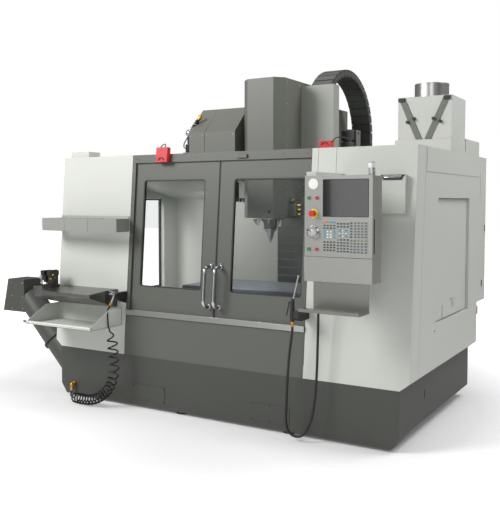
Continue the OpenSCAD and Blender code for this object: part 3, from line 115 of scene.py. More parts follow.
def material(name, colour, rough=0.45, metal=0.0, vary=0.015, grain=600.0, bump=0.05,
             stretch=(1, 1, 1), edge_highlight=0.05, alpha=1.0, coat=0.0, depth=0.0004):
    """Shader with a slow drift of colour, a fine grain and soft edges lightened by a painted
    highlight.
    """
    m = bpy.data.materials.new(name)
    m.use_nodes = True
    m.diffuse_color = colour
    tree = m.node_tree
    bsdf = tree.nodes["Principled BSDF"]
    bsdf.inputs["Metallic"].default_value = metal
    bsdf.inputs["Coat Weight"].default_value = coat
    bsdf.inputs["Alpha"].default_value = alpha

    def node(kind, **values):
        n = tree.nodes.new(kind)
        for key, value in values.items():
            if key in n.inputs:
                n.inputs[key].default_value = value
            else:
                setattr(n, key, value)
        return n

    link = tree.links.new
    coords = node("ShaderNodeTexCoord")
    mapped = node("ShaderNodeMapping", Scale=stretch)
    link(coords.outputs["Object"], mapped.inputs["Vector"])
    slow = node("ShaderNodeTexNoise", Scale=BLOTCH_SCALE, Detail=4.0, Roughness=0.6)
    link(coords.outputs["Object"], slow.inputs["Vector"])
    fine = node("ShaderNodeTexNoise", Scale=grain, Detail=3.0, Roughness=0.6)
    link(mapped.outputs["Vector"], fine.inputs["Vector"])

    dark = tuple(c * (1 - 2 * vary) for c in colour[:3]) + (1,)
    light = tuple(min(1, c * (1 + 2 * vary)) for c in colour[:3]) + (1,)
    drift = node("ShaderNodeMix", data_type="RGBA")
    for key, value in (("A", dark), ("B", light)):
        next(i for i in drift.inputs if i.name == key and i.type == "RGBA").default_value = value
    blend = node("ShaderNodeMath", operation="MULTIPLY_ADD")
    blend.inputs[1].default_value = FINE_SHARE
    link(fine.outputs["Fac"], blend.inputs[0])
    share = node("ShaderNodeMath", operation="MULTIPLY")
    share.inputs[1].default_value = SLOW_SHARE
    link(slow.outputs["Fac"], share.inputs[0])
    link(share.outputs[0], blend.inputs[2])
    link(blend.outputs[0], drift.inputs["Factor"])
    colour_out = next(o for o in drift.outputs if o.type == "RGBA")

    bevel = node("ShaderNodeBevel", samples=4, Radius=EDGE_RADIUS)
    if edge_highlight:
        # Painted highlight: edges made lighter, in patches, where the rounded normal leaves the
        # face's own
        geometry = node("ShaderNodeNewGeometry")
        turned = node("ShaderNodeVectorMath", operation="DOT_PRODUCT")
        link(bevel.outputs["Normal"], turned.inputs[0])
        link(geometry.outputs["Normal"], turned.inputs[1])
        mask = node("ShaderNodeMapRange")
        for key, value in (("From Min", EDGE_HIGHLIGHT_FROM), ("From Max", EDGE_HIGHLIGHT_TO), ("To Min", 0),
                           ("To Max", 1)):
            mask.inputs[key].default_value = value
        link(turned.outputs["Value"], mask.inputs["Value"])
        amount = node("ShaderNodeMath", operation="MULTIPLY")
        link(mask.outputs["Result"], amount.inputs[0])
        link(slow.outputs["Fac"], amount.inputs[1])
        highlighted_edge = node("ShaderNodeMix", data_type="RGBA")
        link(amount.outputs[0], highlighted_edge.inputs["Factor"])
        sockets = [i for i in highlighted_edge.inputs if i.type == "RGBA"]
        link(colour_out, sockets[0])
        sockets[1].default_value = tuple(min(1, c + edge_highlight) for c in colour[:3]) + (1,)
        colour_out = next(o for o in highlighted_edge.outputs if o.type == "RGBA")
    link(colour_out, bsdf.inputs["Base Color"])

    polish = node("ShaderNodeMapRange")
    polish.inputs["To Min"].default_value = max(0.02, rough * 0.8)
    polish.inputs["To Max"].default_value = min(1, rough * 1.2)
    link(fine.outputs["Fac"], polish.inputs["Value"])
    link(polish.outputs["Result"], bsdf.inputs["Roughness"])
    relief = node("ShaderNodeBump", Strength=bump, Distance=depth)
    link(fine.outputs["Fac"], relief.inputs["Height"])
    link(bevel.outputs["Normal"], relief.inputs["Normal"])
    link(relief.outputs["Normal"], bsdf.inputs["Normal"])
    return m


LIGHT = material("light_paint", rgb(192, 194, 188), vary=0.012, edge_highlight=0.08)
INNER = material("inner_paint", rgb(196, 198, 192), rough=0.35, vary=0.02)
DOOR = material("door_paint", rgb(83, 85, 79))
DARK = material("dark_paint", rgb(61, 63, 58), rough=0.5, vary=0.03, bump=0.1)
COVER = material("cover_paint", rgb(103, 105, 98), bump=0.06)
CAST = material("casting", rgb(72, 74, 70), rough=0.6, vary=0.06, grain=220, bump=0.35, edge_highlight=0.04,
                depth=0.001)
# Painted light: a lighter copy of the cover paint on the chain box, standing for light that falls
# on it
CHAIN_BOX_PAINTED_LIGHT = material("chain_box_painted_light", rgb(150, 152, 145), bump=0.06)
TRAY = material("tray_paint", rgb(138, 140, 135), rough=0.42, vary=0.012, edge_highlight=0.06)
BIN = material("bin_sheet", rgb(212, 214, 208), metal=0.1, grain=90, edge_highlight=0.08)
STAINLESS = material("stainless", rgb(118, 118, 114), rough=0.32, metal=1.0, vary=0.02, grain=90,
                     bump=0.06, stretch=(0.6, 9, 9), edge_highlight=0.1)
TABLE = material("machined", rgb(142, 148, 158), rough=0.35, metal=0.75, vary=0.05, grain=140,
                 bump=0.12, stretch=(0.4, 6, 6), edge_highlight=0.1)
CHROME = material("chrome", rgb(196, 196, 200), rough=0.12, metal=1.0, vary=0.02, grain=400,
                  bump=0.02, edge_highlight=0)
STEEL = material("steel", rgb(190, 190, 190), rough=0.28, metal=1.0, vary=0.04, grain=300, edge_highlight=0)
BRASS = material("brass", rgb(206, 158, 70), rough=0.28, metal=1.0, vary=0.06, grain=300, edge_highlight=0)
BLACK = material("black_plastic", rgb(30, 30, 30), rough=0.5, vary=0.1, grain=900, bump=0.15,
                 edge_highlight=0.02)
BLACK_PAINT = material("black_paint", rgb(34, 34, 34), rough=0.35, vary=0.1, grain=500, bump=0.1,
                       edge_highlight=0.03)
CHAIN = material("chain_plastic", rgb(62, 64, 60), rough=0.5, vary=0.08, grain=700, bump=0.12,
                 edge_highlight=0.03)
RUBBER = material("rubber", rgb(26, 26, 26), rough=0.6, vary=0.1, grain=500, bump=0.2, edge_highlight=0.0)
RED = material("red_plastic", rgb(192, 30, 40), rough=0.35, vary=0.04, grain=700, bump=0.06,
               edge_highlight=0.03, coat=0.2)
GREEN = material("green_plastic", rgb(42, 122, 48), rough=0.35, vary=0.04, grain=700, bump=0.06,
                 edge_highlight=0.02, coat=0.2)
YELLOW = material("yellow_paint", rgb(226, 200, 40), rough=0.4, vary=0.03, grain=700, edge_highlight=0.02)
GLASS = material("clear_pane", rgb(120, 130, 128), rough=0.03, vary=0.02, grain=3, bump=0.0, edge_highlight=0,
                 alpha=0.05)
SCREEN = material("screen_glass", rgb(16, 17, 17), rough=0.09, vary=0.1, grain=3, bump=0.0, edge_highlight=0,
                  coat=0.6)
BRUSHED = material("brushed_face", rgb(122, 123, 118), rough=0.36, metal=0.9, grain=90,
                   stretch=(9, 9, 0.6), edge_highlight=0.08)
DRUM = material("drum_metal", rgb(176, 177, 174), rough=0.3, metal=0.9, vary=0.02, grain=60,
                stretch=(9, 9, 0.4))
PLATE = material("plate_metal", rgb(150, 151, 147), rough=0.36, metal=0.6, grain=90,
                 stretch=(9, 9, 0.6), edge_highlight=0.06)
KEY_OLIVE = material("key_olive", rgb(132, 126, 70), rough=0.5, vary=0.03, grain=900, edge_highlight=0)
KEY_DIM = material("key_dim", rgb(58, 61, 64), rough=0.5, vary=0.03, grain=900, edge_highlight=0)
CHAIN_SIDE = material("chain_side", rgb(112, 114, 109), rough=0.5, vary=0.05, grain=700, bump=0.1,
                      edge_highlight=0.02)
KEY_BED = material("keypad_bed", rgb(146, 148, 143), metal=0.5, vary=0.01, grain=900, edge_highlight=0)
KEY_GREY = material("key_grey", rgb(88, 94, 99), rough=0.5, vary=0.03, grain=900, edge_highlight=0)
KEY_BLACK = material("key_black", rgb(40, 41, 42), rough=0.5, vary=0.05, grain=900, edge_highlight=0)
KEY_BLUE = material("key_blue", rgb(40, 140, 184), rough=0.5, vary=0.03, grain=900, edge_highlight=0)
KEY_ORANGE = material("key_orange", rgb(205, 100, 36), rough=0.5, vary=0.03, grain=900, edge_highlight=0)
WHITE = material("white_plastic", rgb(222, 222, 218), rough=0.4, vary=0.02, grain=700, edge_highlight=0)


# Building shapes

SHARP = 0.6  # Angle in radians from which an edge is bevelled or shaded sharp
OPEN_EDGE = 4  # Angle that stands for an edge with one face
ROUND = 2  # Angle for make() that shades a whole tube smooth
BOLT_SIDES = 12
# A button head and its socket, as shares of the radius and of the height
BOLT_RINGS = ((1, 0), (1, 0.4), (0.72, 1), (0.45, 1), (0.42, 0.4))


def way_at(path, i):
    """Direction of a path at one of its points."""
    return (path[min(i + 1, len(path) - 1)] - path[max(i - 1, 0)]).normalized()


def tilted(degrees):
    """The upright direction, tilted towards x."""
    a = math.radians(degrees)
    return Vector((math.sin(a), 0, math.cos(a)))


def circle(centre, r, z, count, start):
    """Points on a level circle, the first one at an angle in degrees."""
    return [(centre[0] + r * math.cos(a), centre[1] + r * math.sin(a), z)
            for a in (math.radians(360 / count * k + start) for k in range(count))]


class Shape:
    """Faces gathered in millimetres in one of the frames, then made into one object.

    A face has the first material, unless the call that adds it names another."""

    def __init__(self, mats, matrix=MM):
        self.bm = bmesh.new()
        self.mats = list(mats) if isinstance(mats, (list, tuple)) else [mats]
        self.matrix = matrix

    def _mark(self, verts, mat, bevel=0.0):
        faces = dict.fromkeys(f for v in verts for f in v.link_faces)
        for f in faces:
            f.material_index = self.mats.index(mat) if mat else 0
        if bevel:
            edges = dict.fromkeys(e for f in faces for e in f.edges if e.calc_face_angle(0) > SHARP)
            bmesh.ops.bevel(self.bm, geom=list(edges), offset=bevel, segments=2, profile=0.5,
                            affect="EDGES", clamp_overlap=True)

    def box(self, low, high, mat=None, bevel=0.0):
        low, high = Vector(low), Vector(high)
        made = bmesh.ops.create_cube(self.bm, size=1, matrix=Matrix.Translation((low + high) / 2)
                                     @ Matrix.Diagonal((*(high - low), 1)))
        self._mark(made["verts"], mat, bevel)

    def rod(self, a, b, r, mat=None, sides=20, r2=None, bevel=0.0):
        a, b = Vector(a), Vector(b)
        turn = (b - a).to_track_quat("Z", "Y").to_matrix().to_4x4()
        made = bmesh.ops.create_cone(
            self.bm, cap_ends=True, segments=sides, radius1=r, radius2=r if r2 is None else r2,
            depth=(b - a).length, matrix=Matrix.Translation((a + b) / 2) @ turn)
        self._mark(made["verts"], mat, bevel)

    def post(self, at, z0, z1, r, mat=None, sides=20, r2=None, bevel=0.0):
        """An upright rod over a point of the plan."""
        self.rod((*at, z0), (*at, z1), r, mat, sides, r2, bevel)

    def ball(self, at, r, mat=None, sides=14):
        made = bmesh.ops.create_uvsphere(self.bm, u_segments=sides, v_segments=sides // 2, radius=r,
                                         matrix=Matrix.Translation(at))
        self._mark(made["verts"], mat)

    def prism(self, outline, offset, mat=None, bevel=0.0):
        """A flat outline of points, pushed along an offset."""
        low = [self.bm.verts.new(p) for p in outline]
        high = [self.bm.verts.new(Vector(p) + Vector(offset)) for p in outline]
        n = len(outline)
        self.bm.faces.new(low[::-1])
        self.bm.faces.new(high)
        for i in range(n):
            self.bm.faces.new((low[i], low[(i + 1) % n], high[(i + 1) % n], high[i]))
        self._mark(low + high, mat, bevel)

    def frame(self, outer, inner, offset, mat=None):
        """A closed band between two outlines of equal length."""
        offset = Vector(offset)
        rings = [[self.bm.verts.new(Vector(p) + k * offset) for p in ring]
                 for k in (0, 1) for ring in (outer, inner)]
        n = len(outer)
        o0, i0, o1, i1 = rings
        for i in range(n):
            j = (i + 1) % n
            for quad in ((o0[j], o0[i], i0[i], i0[j]), (o1[i], o1[j], i1[j], i1[i]),
                         (o0[i], o0[j], o1[j], o1[i]), (i0[j], i0[i], i1[i], i1[j])):
                self.bm.faces.new(quad)
        self._mark(o0 + i0 + o1 + i1, mat)

    def tube(self, path, r, mat=None, sides=12):
        """A round tube along a path, its frame carried from point to point."""
        path = [Vector(p) for p in path]
        ways = [way_at(path, i) for i in range(len(path))]
        side = ways[0].orthogonal().normalized()
        rings = []
        for p, w in zip(path, ways):
            side = (side - w * side.dot(w)).normalized()
            other = w.cross(side)
            rings.append([self.bm.verts.new(p + r * (math.cos(a) * side + math.sin(a) * other))
                          for a in (2 * math.pi * k / sides for k in range(sides))])
        for a, b in zip(rings, rings[1:]):
            for k in range(sides):
                self.bm.faces.new((a[k], a[(k + 1) % sides], b[(k + 1) % sides], b[k]))
        self.bm.faces.new(rings[0][::-1])
        self.bm.faces.new(rings[-1])
        self._mark([v for ring in rings for v in ring], mat)

    def bolt(self, at, out, r=5.0, mat=None, height=None):
        """Button head with a hexagon socket."""
        at, out = Vector(at), Vector(out).normalized()
        height = height or r * 0.6
        turn = out.to_track_quat("Z", "Y").to_matrix().to_4x4()
        where = Matrix.Translation(at) @ turn
        angles = [2 * math.pi * k / BOLT_SIDES for k in range(BOLT_SIDES)]
        rings = [[self.bm.verts.new(where @ Vector((wide * r * math.cos(a), wide * r * math.sin(a),
                                                    high * height)))
                  for a in angles] for wide, high in BOLT_RINGS]
        for a, b in zip(rings, rings[1:]):
            for k in range(BOLT_SIDES):
                i = (k + 1) % BOLT_SIDES
                self.bm.faces.new((a[k], a[i], b[i], b[k]))
        self.bm.faces.new(rings[-1])
        self.bm.faces.new(rings[0][::-1])
        self._mark([v for ring in rings for v in ring], mat)

    def make(self, name, body, smooth=SHARP):
        """The finished piece, riding on a body. Edges up to the angle smooth are shaded smooth."""
        bm = self.bm
        bmesh.ops.transform(bm, matrix=self.matrix, verts=bm.verts)
        bmesh.ops.recalc_face_normals(bm, faces=bm.faces)
        for e in bm.edges:
            e.smooth = e.calc_face_angle(OPEN_EDGE) < smooth
        for f in bm.faces:
            f.smooth = True
        mesh = bpy.data.meshes.new(name)
        bm.to_mesh(mesh)
        bm.free()
        for m in self.mats:
            mesh.materials.append(m)
        piece = bpy.data.objects.new(name, mesh)
        bpy.context.scene.collection.objects.link(piece)
        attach(piece, body)
        return piece


def soft_rect(x0, z0, x1, z1, r, y=0.0, steps=6):
    """Outline of a rectangle with round corners, in the XZ plane."""
    points = []
    for cx, cz, start in ((x1 - r, z1 - r, 0), (x0 + r, z1 - r, 90), (x0 + r, z0 + r, 180),
                          (x1 - r, z0 + r, 270)):
        for k in range(steps + 1):
            a = math.radians(start + 90 * k / steps)
            points.append((cx + r * math.cos(a), y, cz + r * math.sin(a)))
    return points


def smooth_path(points, step):
    """Points every step along a smooth curve through the given ones."""
    parts = 20
    points = [Vector(p) for p in points]
    padded = [2 * points[0] - points[1]] + points + [2 * points[-1] - points[-2]]
    fine = []
    for a, b, c, d in zip(padded, padded[1:], padded[2:], padded[3:]):
        for k in range(parts):
            t = k / parts
            fine.append(0.5 * (2 * b + (c - a) * t + (2 * a - 5 * b + 4 * c - d) * t * t
                               + (3 * b - a - 3 * c + d) * t ** 3))
    fine.append(points[-1])
    lengths = [0.0]
    for a, b in zip(fine, fine[1:]):
        lengths.append(lengths[-1] + (b - a).length)
    count = max(2, round(lengths[-1] / step))
    out, j = [], 0
    for i in range(count + 1):
        want = lengths[-1] * i / count
        while j < len(lengths) - 2 and lengths[j + 1] < want:
            j += 1
        t = (want - lengths[j]) / max(1e-9, lengths[j + 1] - lengths[j])
        out.append(fine[j].lerp(fine[j + 1], min(1, max(0, t))))
    return out


def eased(path, tightest, rounds=400, reach=3):
    """The same path with every bend opened to at least a given radius, its ends kept."""
    path = list(path)
    for _ in range(rounds):
        new = list(path)
        for i in range(reach, len(path) - reach):
            a, b, c = path[i - reach], path[i], path[i + reach]
            sides = (b - a).length * (c - b).length * (a - c).length
            if 2 * (b - a).cross(c - a).length * tightest > sides:
                new[i] = (path[i - 1] + 2 * b + path[i + 1]) / 4
        path = new
    return path


def length_of(path):
    """Length along a path's points."""
    return sum((b - a).length for a, b in zip(path, path[1:]))


# Free hoses, along the routes of the solids

AIR_AT = Vector((-842, -75, 902))
AIR_WAY = tilted(205)
AIR_START = AIR_AT + 98 * AIR_WAY
AIR_ROUTE = [
    AIR_START, AIR_START + 14 * AIR_WAY,
    (-884, -96, 792), (-866, -124, 776), (-850, -144, 750), (-842, -150, 710),
    (-838, -150, 660), (-814, -152, 604), (-798, -152, 540), (-788, -152, 440), (-784, -152, 340),
    (-800, -152, 240), (-850, -156, 150), (-930, -162, 84), (-1020, -164, 52),
    (-1110, -162, 46), (-1190, -156, 46), (-1250, -140, 46), (-1300, -100, 40),
    (-1340, -52, 28), (-1350, -34, 44), (-1350, -34, 70),
]
AIR_D = 12.0
COIL_R = 37.0
RAMP = 90.0  # Length over which the coil opens, and closes
PITCH_BLEND = 200  # Height over which its pitch changes


def coiled(route, tightest, start, end, pitch_high, pitch_low, bend_z):
    """A path that winds round its route, but for a straight start and end of the given lengths."""
    line = smooth_path(eased(smooth_path(route, 6.0), tightest), 2.0)
    total = length_of(line)
    side = Vector((-1, 0, 0))
    phase, travelled, points = 0.0, 0.0, []
    for i, p in enumerate(line):
        way = way_at(line, i)
        side = (side - way * side.dot(way)).normalized()
        other = way.cross(side)
        ramp = (min(1, max(0, (travelled - start) / RAMP))
                * min(1, max(0, (total - end - travelled) / RAMP)))
        radius = COIL_R * ramp * ramp * (3 - 2 * ramp)
        points.append(p + radius * (math.cos(phase) * side + math.sin(phase) * other))
        if i + 1 < len(line):
            step = (line[i + 1] - p).length
            travelled += step
            share = min(1, max(0, (p.z - bend_z) / PITCH_BLEND))
            pitch = pitch_low + (pitch_high - pitch_low) * share
            # The coil winds slower where it opens and closes, so it never kinks
            rate = 2 * math.pi / pitch
            if 0.2 < radius < COIL_R - 1.5:
                rate = min(rate, 1 / math.sqrt(radius * (COIL_R - 1 - radius)))
            phase += rate * step if ramp > 0 else 0
    return points


air_line = smooth_path(coiled(AIR_ROUTE, tightest=60, start=230, end=150, pitch_high=64,
                              pitch_low=30, bend_z=120), 9.0)
shape = Shape(RUBBER)
shape.tube(air_line, AIR_D / 2, sides=10)
air_hose = shape.make("coiled_air_hose", "machine", smooth=ROUND)
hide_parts("air_hose")

WASH_XY = (772, -110)
WASH_AT = Vector((*WASH_XY, 790))
WASH_ROUTE = [
    WASH_AT, (772, -110, 760), (762, -112, 680), (750, -114, 580), (742, -116, 470),
    (736, -118, 360), (732, -118, 260), (728, -118, 180), (732, -118, 110), (748, -116, 54),
    (778, -114, 20), (812, -112, 18), (846, -108, 40), (876, -104, 84), (902, -98, 140),
    (920, -92, 210), (932, -88, 300), (940, -84, 400), (945, -80, 520), (947, -76, 660),
    (948, -72, 800), (948, -70, 920), (948, -70, 980), (948, -70, 1010),
]
WASH_D = 18.0
wash_line = eased(smooth_path(WASH_ROUTE, 12.0), tightest=74)
shape = Shape(RUBBER)
shape.tube(wash_line, WASH_D / 2, sides=14)
wash_hose = shape.make("wash_down_hose", "machine", smooth=ROUND)
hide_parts("wash_hose")


# Materials of the solids

def paint(name, mats, zone=None):
    """Gives a solid its materials. zone tells which one, from a face's centre in millimetres."""
    mesh = nodes[name].data
    mats = mats if isinstance(mats, (list, tuple)) else [mats]
    mesh.materials.clear()
    for m in mats:
        mesh.materials.append(m)
    back = MM.inverted()
    for face in mesh.polygons:
        face.material_index = mats.index(zone(back @ face.center)) if zone else 0


for mat, names in (
    (LIGHT, "left_housing right_housing side_panel pendant_arm cabinet_door"),
    (TRAY, "tool_tray"),
    (INNER, "inner_walls"),
    (DOOR, "door_frame left_door right_door"),
    (DARK, "base_tank auger_tube"),
    (CAST, "saddle"),
    (CHAIN_BOX_PAINTED_LIGHT, "chain_box"),
    (DRUM, "sill"),
    (STAINLESS, "work_shelf shelf_bin way_cover"),
    (BRUSHED, "pendant_tray"),
    (TABLE, "table"),
    (CHROME, "left_handle right_handle jog_wheel"),
    (STEEL, "spindle tool_holder vise_screw auger_screw air_gun_lever"),
    (BRASS, "hose_elbows"),
    (BLACK, "gun_holders wash_lever"),
    (BLACK_PAINT, "levelling_feet vise vise_jaw"),
    (CHAIN, "energy_chain"),
    (RED, "main_switch interlock_switches hold_button off_button stop_button"),
    (GREEN, "start_button on_button"),
    (GLASS, "side_window left_pane right_pane"),
    (SCREEN, "screen"),
):
    for name in names.split():
        paint(name, mat)


def leaned(p):
    """A point of the drawing in the frame of the leaning front."""
    return LEANED.inverted() @ (MM @ p)


def mist_zone(p):
    """Drum, housing, black fasteners and cover of the mist collector."""
    if p.z > 2440.5:
        return DRUM
    if p.y > 979.9 or p.z < 2113:
        return LIGHT
    return BLACK if p.y < 973.5 else COVER


def cabinet_zone(p):
    """Shell, black fittings and yellow switch plate of the electrical cabinet."""
    if p.x > 1560.5:
        return BLACK
    return YELLOW if p.x > 1529.9 and p.y < 1800 and p.z < 795 else LIGHT


def holder_zone(p):
    """Sheet, black clip and bright bar of the document holder."""
    q = leaned(p)
    if q.y > -43 or q.z < 1781:
        return LIGHT
    return CHROME if q.y < -48.5 else BLACK


# Round parts of the pendant's face: centre, radius and material
PENDANT_ROUNDS = (
    ((-63, 19), 29.5, YELLOW), ((-68, 205), 35, WHITE), ((-68, -97), 42, CHROME),
    ((-97, -206), 15, CHROME), ((-42, -205), 15, CHROME), ((-98, 117), 15, CHROME),
    ((-42, 117), 15, CHROME),
)


def pendant_zone(p):
    """Face, keypad bed, rounds, dark slot, light sides and lower plate of the pendant."""
    q = PENDANT.inverted() @ (MM @ p)
    if q.x > 315 and 30 < q.y < 52 and -228 < q.z < -12 and abs(q.x - 330) > 0.2:
        return BLACK
    if q.x > 329 or q.x < -129:
        return LIGHT
    if q.y > -0.5 or q.z < -253:
        return PLATE
    for (x, z), r, mat in PENDANT_ROUNDS:
        if math.hypot(q.x - x, q.z - z) < r:
            return mat
    return KEY_BED if 1 < q.x < 301 and -213 < q.z < -27 else BRUSHED


paint("coolant_block", [COVER, BRASS, STEEL],
      lambda p: BRASS if p.x > 298 else STEEL if p.z < 1506 else COVER)
paint("mist_collector", [LIGHT, COVER, BLACK, DRUM], mist_zone)
paint("electrical_cabinet", [LIGHT, BLACK, YELLOW], cabinet_zone)
paint("cover_plates", [DARK, LIGHT], lambda p: LIGHT if p.x > 1500 else DARK)
paint("pendant_housing", [BRUSHED, KEY_BED, YELLOW, BLACK, CHROME, WHITE, LIGHT, PLATE],
      pendant_zone)
paint("document_holder", [LIGHT, BLACK, CHROME], holder_zone)
paint("head", [COVER, BLACK],
      lambda p: BLACK if math.hypot(p.x - 126, p.z - 1558) < 11.5 and p.y < 735 else COVER)
paint("beacon", [STEEL, WHITE], lambda p: WHITE if p.z > 1850 else STEEL)
paint("air_gun", [STEEL, BRASS], lambda p: BRASS if p.z < 838 else STEEL)


# Dressed forms in place of plainer solids

shape = Shape([COVER, CHAIN, DRUM, STEEL])
X0, X1, LEFT, RIGHT = -238, 314, -186, 236
COLUMN_Z, WAIST, SHOULDER, COLUMN_TOP = 415.3, 2008, 2060, 2500
shape.prism([(x, 1600, z) for x, z in (
    (X0, COLUMN_Z), (X1, COLUMN_Z), (X1, WAIST), (RIGHT, SHOULDER), (RIGHT, COLUMN_TOP),
    (LEFT, COLUMN_TOP), (LEFT, SHOULDER), (X0, WAIST))], (0, 450, 0))
for x in (-162, 190):
    shape.box((x - 22.5, 1562.3, 800), (x + 22.5, 1600.2, 2470), STEEL, bevel=1)
shape.box((RIGHT - 1, 1900, SHOULDER), (498, 2030, 2099.7), bevel=2)
# Plate beside the chain's foot, with its hole rimmed
shape.prism([(470, y, z) for y, z in (
    (1690, 2002), (1768, 2002), (1768, 2030), (1905, 2030), (1905, 2080), (1782, 2080),
    (1782, 2285), (1690, 2285))], (10, 0, 0), DRUM)
shape.rod((469, 1736, 2256), (481, 1736, 2256), 15, CHAIN)
for z in (2060, 2090, 2120):
    shape.rod((460, 1715, z), (490, 1715, z), 11, CHAIN, 12)
    shape.rod((464, 1750, z + 6), (486, 1750, z + 6), 8, STEEL, 12)
# Motor of two drums on a platform
MOTOR = (397, 1700)
shape.box((X1 - 1, 1610, 1990), (505, 1768, 2002), CHAIN)
shape.post(MOTOR, 2001, 2176, 66, CHAIN, 40, bevel=3)
shape.post(MOTOR, 2175, 2196, 50, CHAIN, 32)
shape.post(MOTOR, 2195, 2276, 66, CHAIN, 40)
shape.post(MOTOR, 2276, 2290, 66, CHAIN, 40, r2=50)
for spot in circle(MOTOR, 56, 2276, 6, 20):
    shape.bolt(spot, (0, 0, 1), 5, STEEL)
for x in (-150, 38, 200):
    for z in (2110, 2300, 2460):
        shape.bolt((x, 2050, z), (0, 1, 0), 8, STEEL)
column = shape.make("column_dressed", "machine")
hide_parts("column")

# Shroud of the tool changer: two covers with a joint, and the valve group on its left end
shape = Shape([COVER, BLACK, BRASS, CHROME, STEEL])


def shroud_outline(x, grow=0.0):
    """The shroud's section at an x, let out by grow."""
    low, top, back = 1992, 2448 + grow, 1599.7
    return [(x, 700 - grow, low), (x, 700 - grow, 2231 + grow * 0.5), (x, 915 - grow * 0.5, top),
            (x, back, top), (x, back, low)]


shape.prism(shroud_outline(-659), (159.5, 0, 0), bevel=2.5)
shape.prism(shroud_outline(-499.6, -3), (3, 0, 0), BLACK)
shape.prism(shroud_outline(-496.7), (303.7, 0, 0), bevel=2.5)
for x in (-640, -520, -478, -215):
    shape.bolt((x, 700, 2205), (0, -1, 0), 5, STEEL)
    shape.bolt((x, 700, 2030), (0, -1, 0), 5, STEEL)
VALVE = (-705, 772)
at = Vector((*VALVE, 2238))
way = tilted(40)
shape.box((-749, 732, 2040), (-658, 822, 2068), BLACK, bevel=2)
shape.post(VALVE, 2067, 2140, 34, BLACK, 28, bevel=3)
for k in range(5):
    shape.post(VALVE, 2076 + 13 * k, 2082 + 13 * k, 38, BLACK, 28)
shape.post(VALVE, 2139, 2215, 20, BLACK, 24)
shape.ball(at, 34, CHROME, 20)
shape.rod(at - 2 * way, at + 150 * way, 14, BLACK, 20)
for k in range(4):
    shape.rod(at + (48 + 24 * k) * way, at + (56 + 24 * k) * way, 19, BLACK if k % 2 else CHROME,
              20)
shape.rod(at + 149 * way, at + 182 * way, 20, BRASS, 6)
shape.rod(at + 181 * way, at + 196 * way, 11, BRASS, 16)
shape.rod((-738, 772, 2110), (-752, 772, 2110), 9, BRASS, 6)
shape.tube(smooth_path([(-752, 772, 2110), (-772, 780, 2120), (-780, 800, 2160), (-760, 840, 2220),
                        (-720, 880, 2250), (-660, 900, 2240)], 10), 5, BLACK, 8)
shape.box((-672, 880, 2100), (-658, 1000, 2330), BLACK, bevel=2)
for z in (2130, 2190, 2250):
    shape.rod((-700, 940, z), (-671, 940, z), 16, BLACK, 16)
    shape.rod((-714, 940, z), (-699, 940, z), 9, CHROME, 12)
shroud = shape.make("shroud_dressed", "machine")
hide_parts("changer_shroud")

# Scrap bin, folded from thin sheet
shape = Shape([BIN, STEEL])
BACK, FRONT, SHEET = 18.9, -333.1, 3
BIN_X0, BIN_X1 = -1545, -853
BIN_Z, LIP_Z, RIM_Z, RIM_Y = 645, 673, 784.7, 30.4
for x in (BIN_X0, BIN_X1 - SHEET):
    shape.prism([(x, BACK, BIN_Z), (x, FRONT, BIN_Z), (x, FRONT, LIP_Z), (x, -124, RIM_Z),
                 (x, RIM_Y, RIM_Z)], (SHEET, 0, 0))
shape.box((BIN_X0, FRONT, BIN_Z), (BIN_X1, BACK, BIN_Z + SHEET))
shape.box((BIN_X0, FRONT, BIN_Z), (BIN_X1, FRONT + SHEET, LIP_Z))
shape.prism([(BIN_X0, BACK - SHEET, BIN_Z), (BIN_X0, BACK, BIN_Z), (BIN_X0, RIM_Y, RIM_Z),
             (BIN_X0, RIM_Y - SHEET, RIM_Z)], (BIN_X1 - BIN_X0, 0, 0))
shape.box((BIN_X0 - 38, FRONT - 8, 660), (BIN_X1, FRONT + 1, LIP_Z), bevel=1)
shape.box((BIN_X0 - 38, FRONT - 8, 646), (BIN_X0, FRONT + 1, LIP_Z), bevel=1)
for x, z in ((-1500, 752), (-1500, 664), (-1200, 752), (-1200, 664), (-900, 752), (-900, 664)):
    shape.bolt((x, BACK - SHEET + (z - BIN_Z) * 0.083, z), (0, -1, 0), 4, STEEL, 2)
for y in (-40, -180):
    shape.bolt((-1542, y, 664), (1, 0, 0), 4, STEEL, 2)
bin_piece = shape.make("bin_dressed", "machine")
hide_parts("shelf_bin")

# Wash-down gun with a slim lance
shape = Shape([BLACK, BRASS, STEEL])
shape.post(WASH_XY, 790, 812, 13, BRASS, 6)
shape.post(WASH_XY, 811, 826, 11, BRASS, 20)
shape.post(WASH_XY, 825, 968, 16, BLACK, 24, bevel=4)
for k in range(7):
    shape.post(WASH_XY, 842 + 12 * k, 847 + 12 * k, 17, BLACK, 24)
lance = tilted(14)
foot = Vector((*WASH_XY, 960))
shape.rod(foot, foot + 24 * lance, 11, BLACK, 20)
shape.rod(foot + 20 * lance, foot + 180 * lance, 4.5, STEEL, 14)
shape.rod(foot + 176 * lance, foot + 190 * lance, 7, STEEL, 14)
for y in (-119.3, -103.7):
    shape.box((758, y, 950), (776, y + 3, 962))
    shape.box((742, y, 950), (760, y + 3, 960))
shape.rod((747, -117, 955), (747, -103, 955), 2, STEEL, 10)
gun = shape.make("wash_gun_dressed", "machine")
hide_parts("wash_gun")


# Small fittings and fine detail, each on the body that carries it

def bolts(name, places, out, r, height=None, matrix=MM, body="machine", mat=STEEL):
    """One piece of several bolts that all point the same way."""
    shape = Shape(mat, matrix)
    for at in places:
        shape.bolt(at, out, r, height=height)
    return shape.make(name, body)


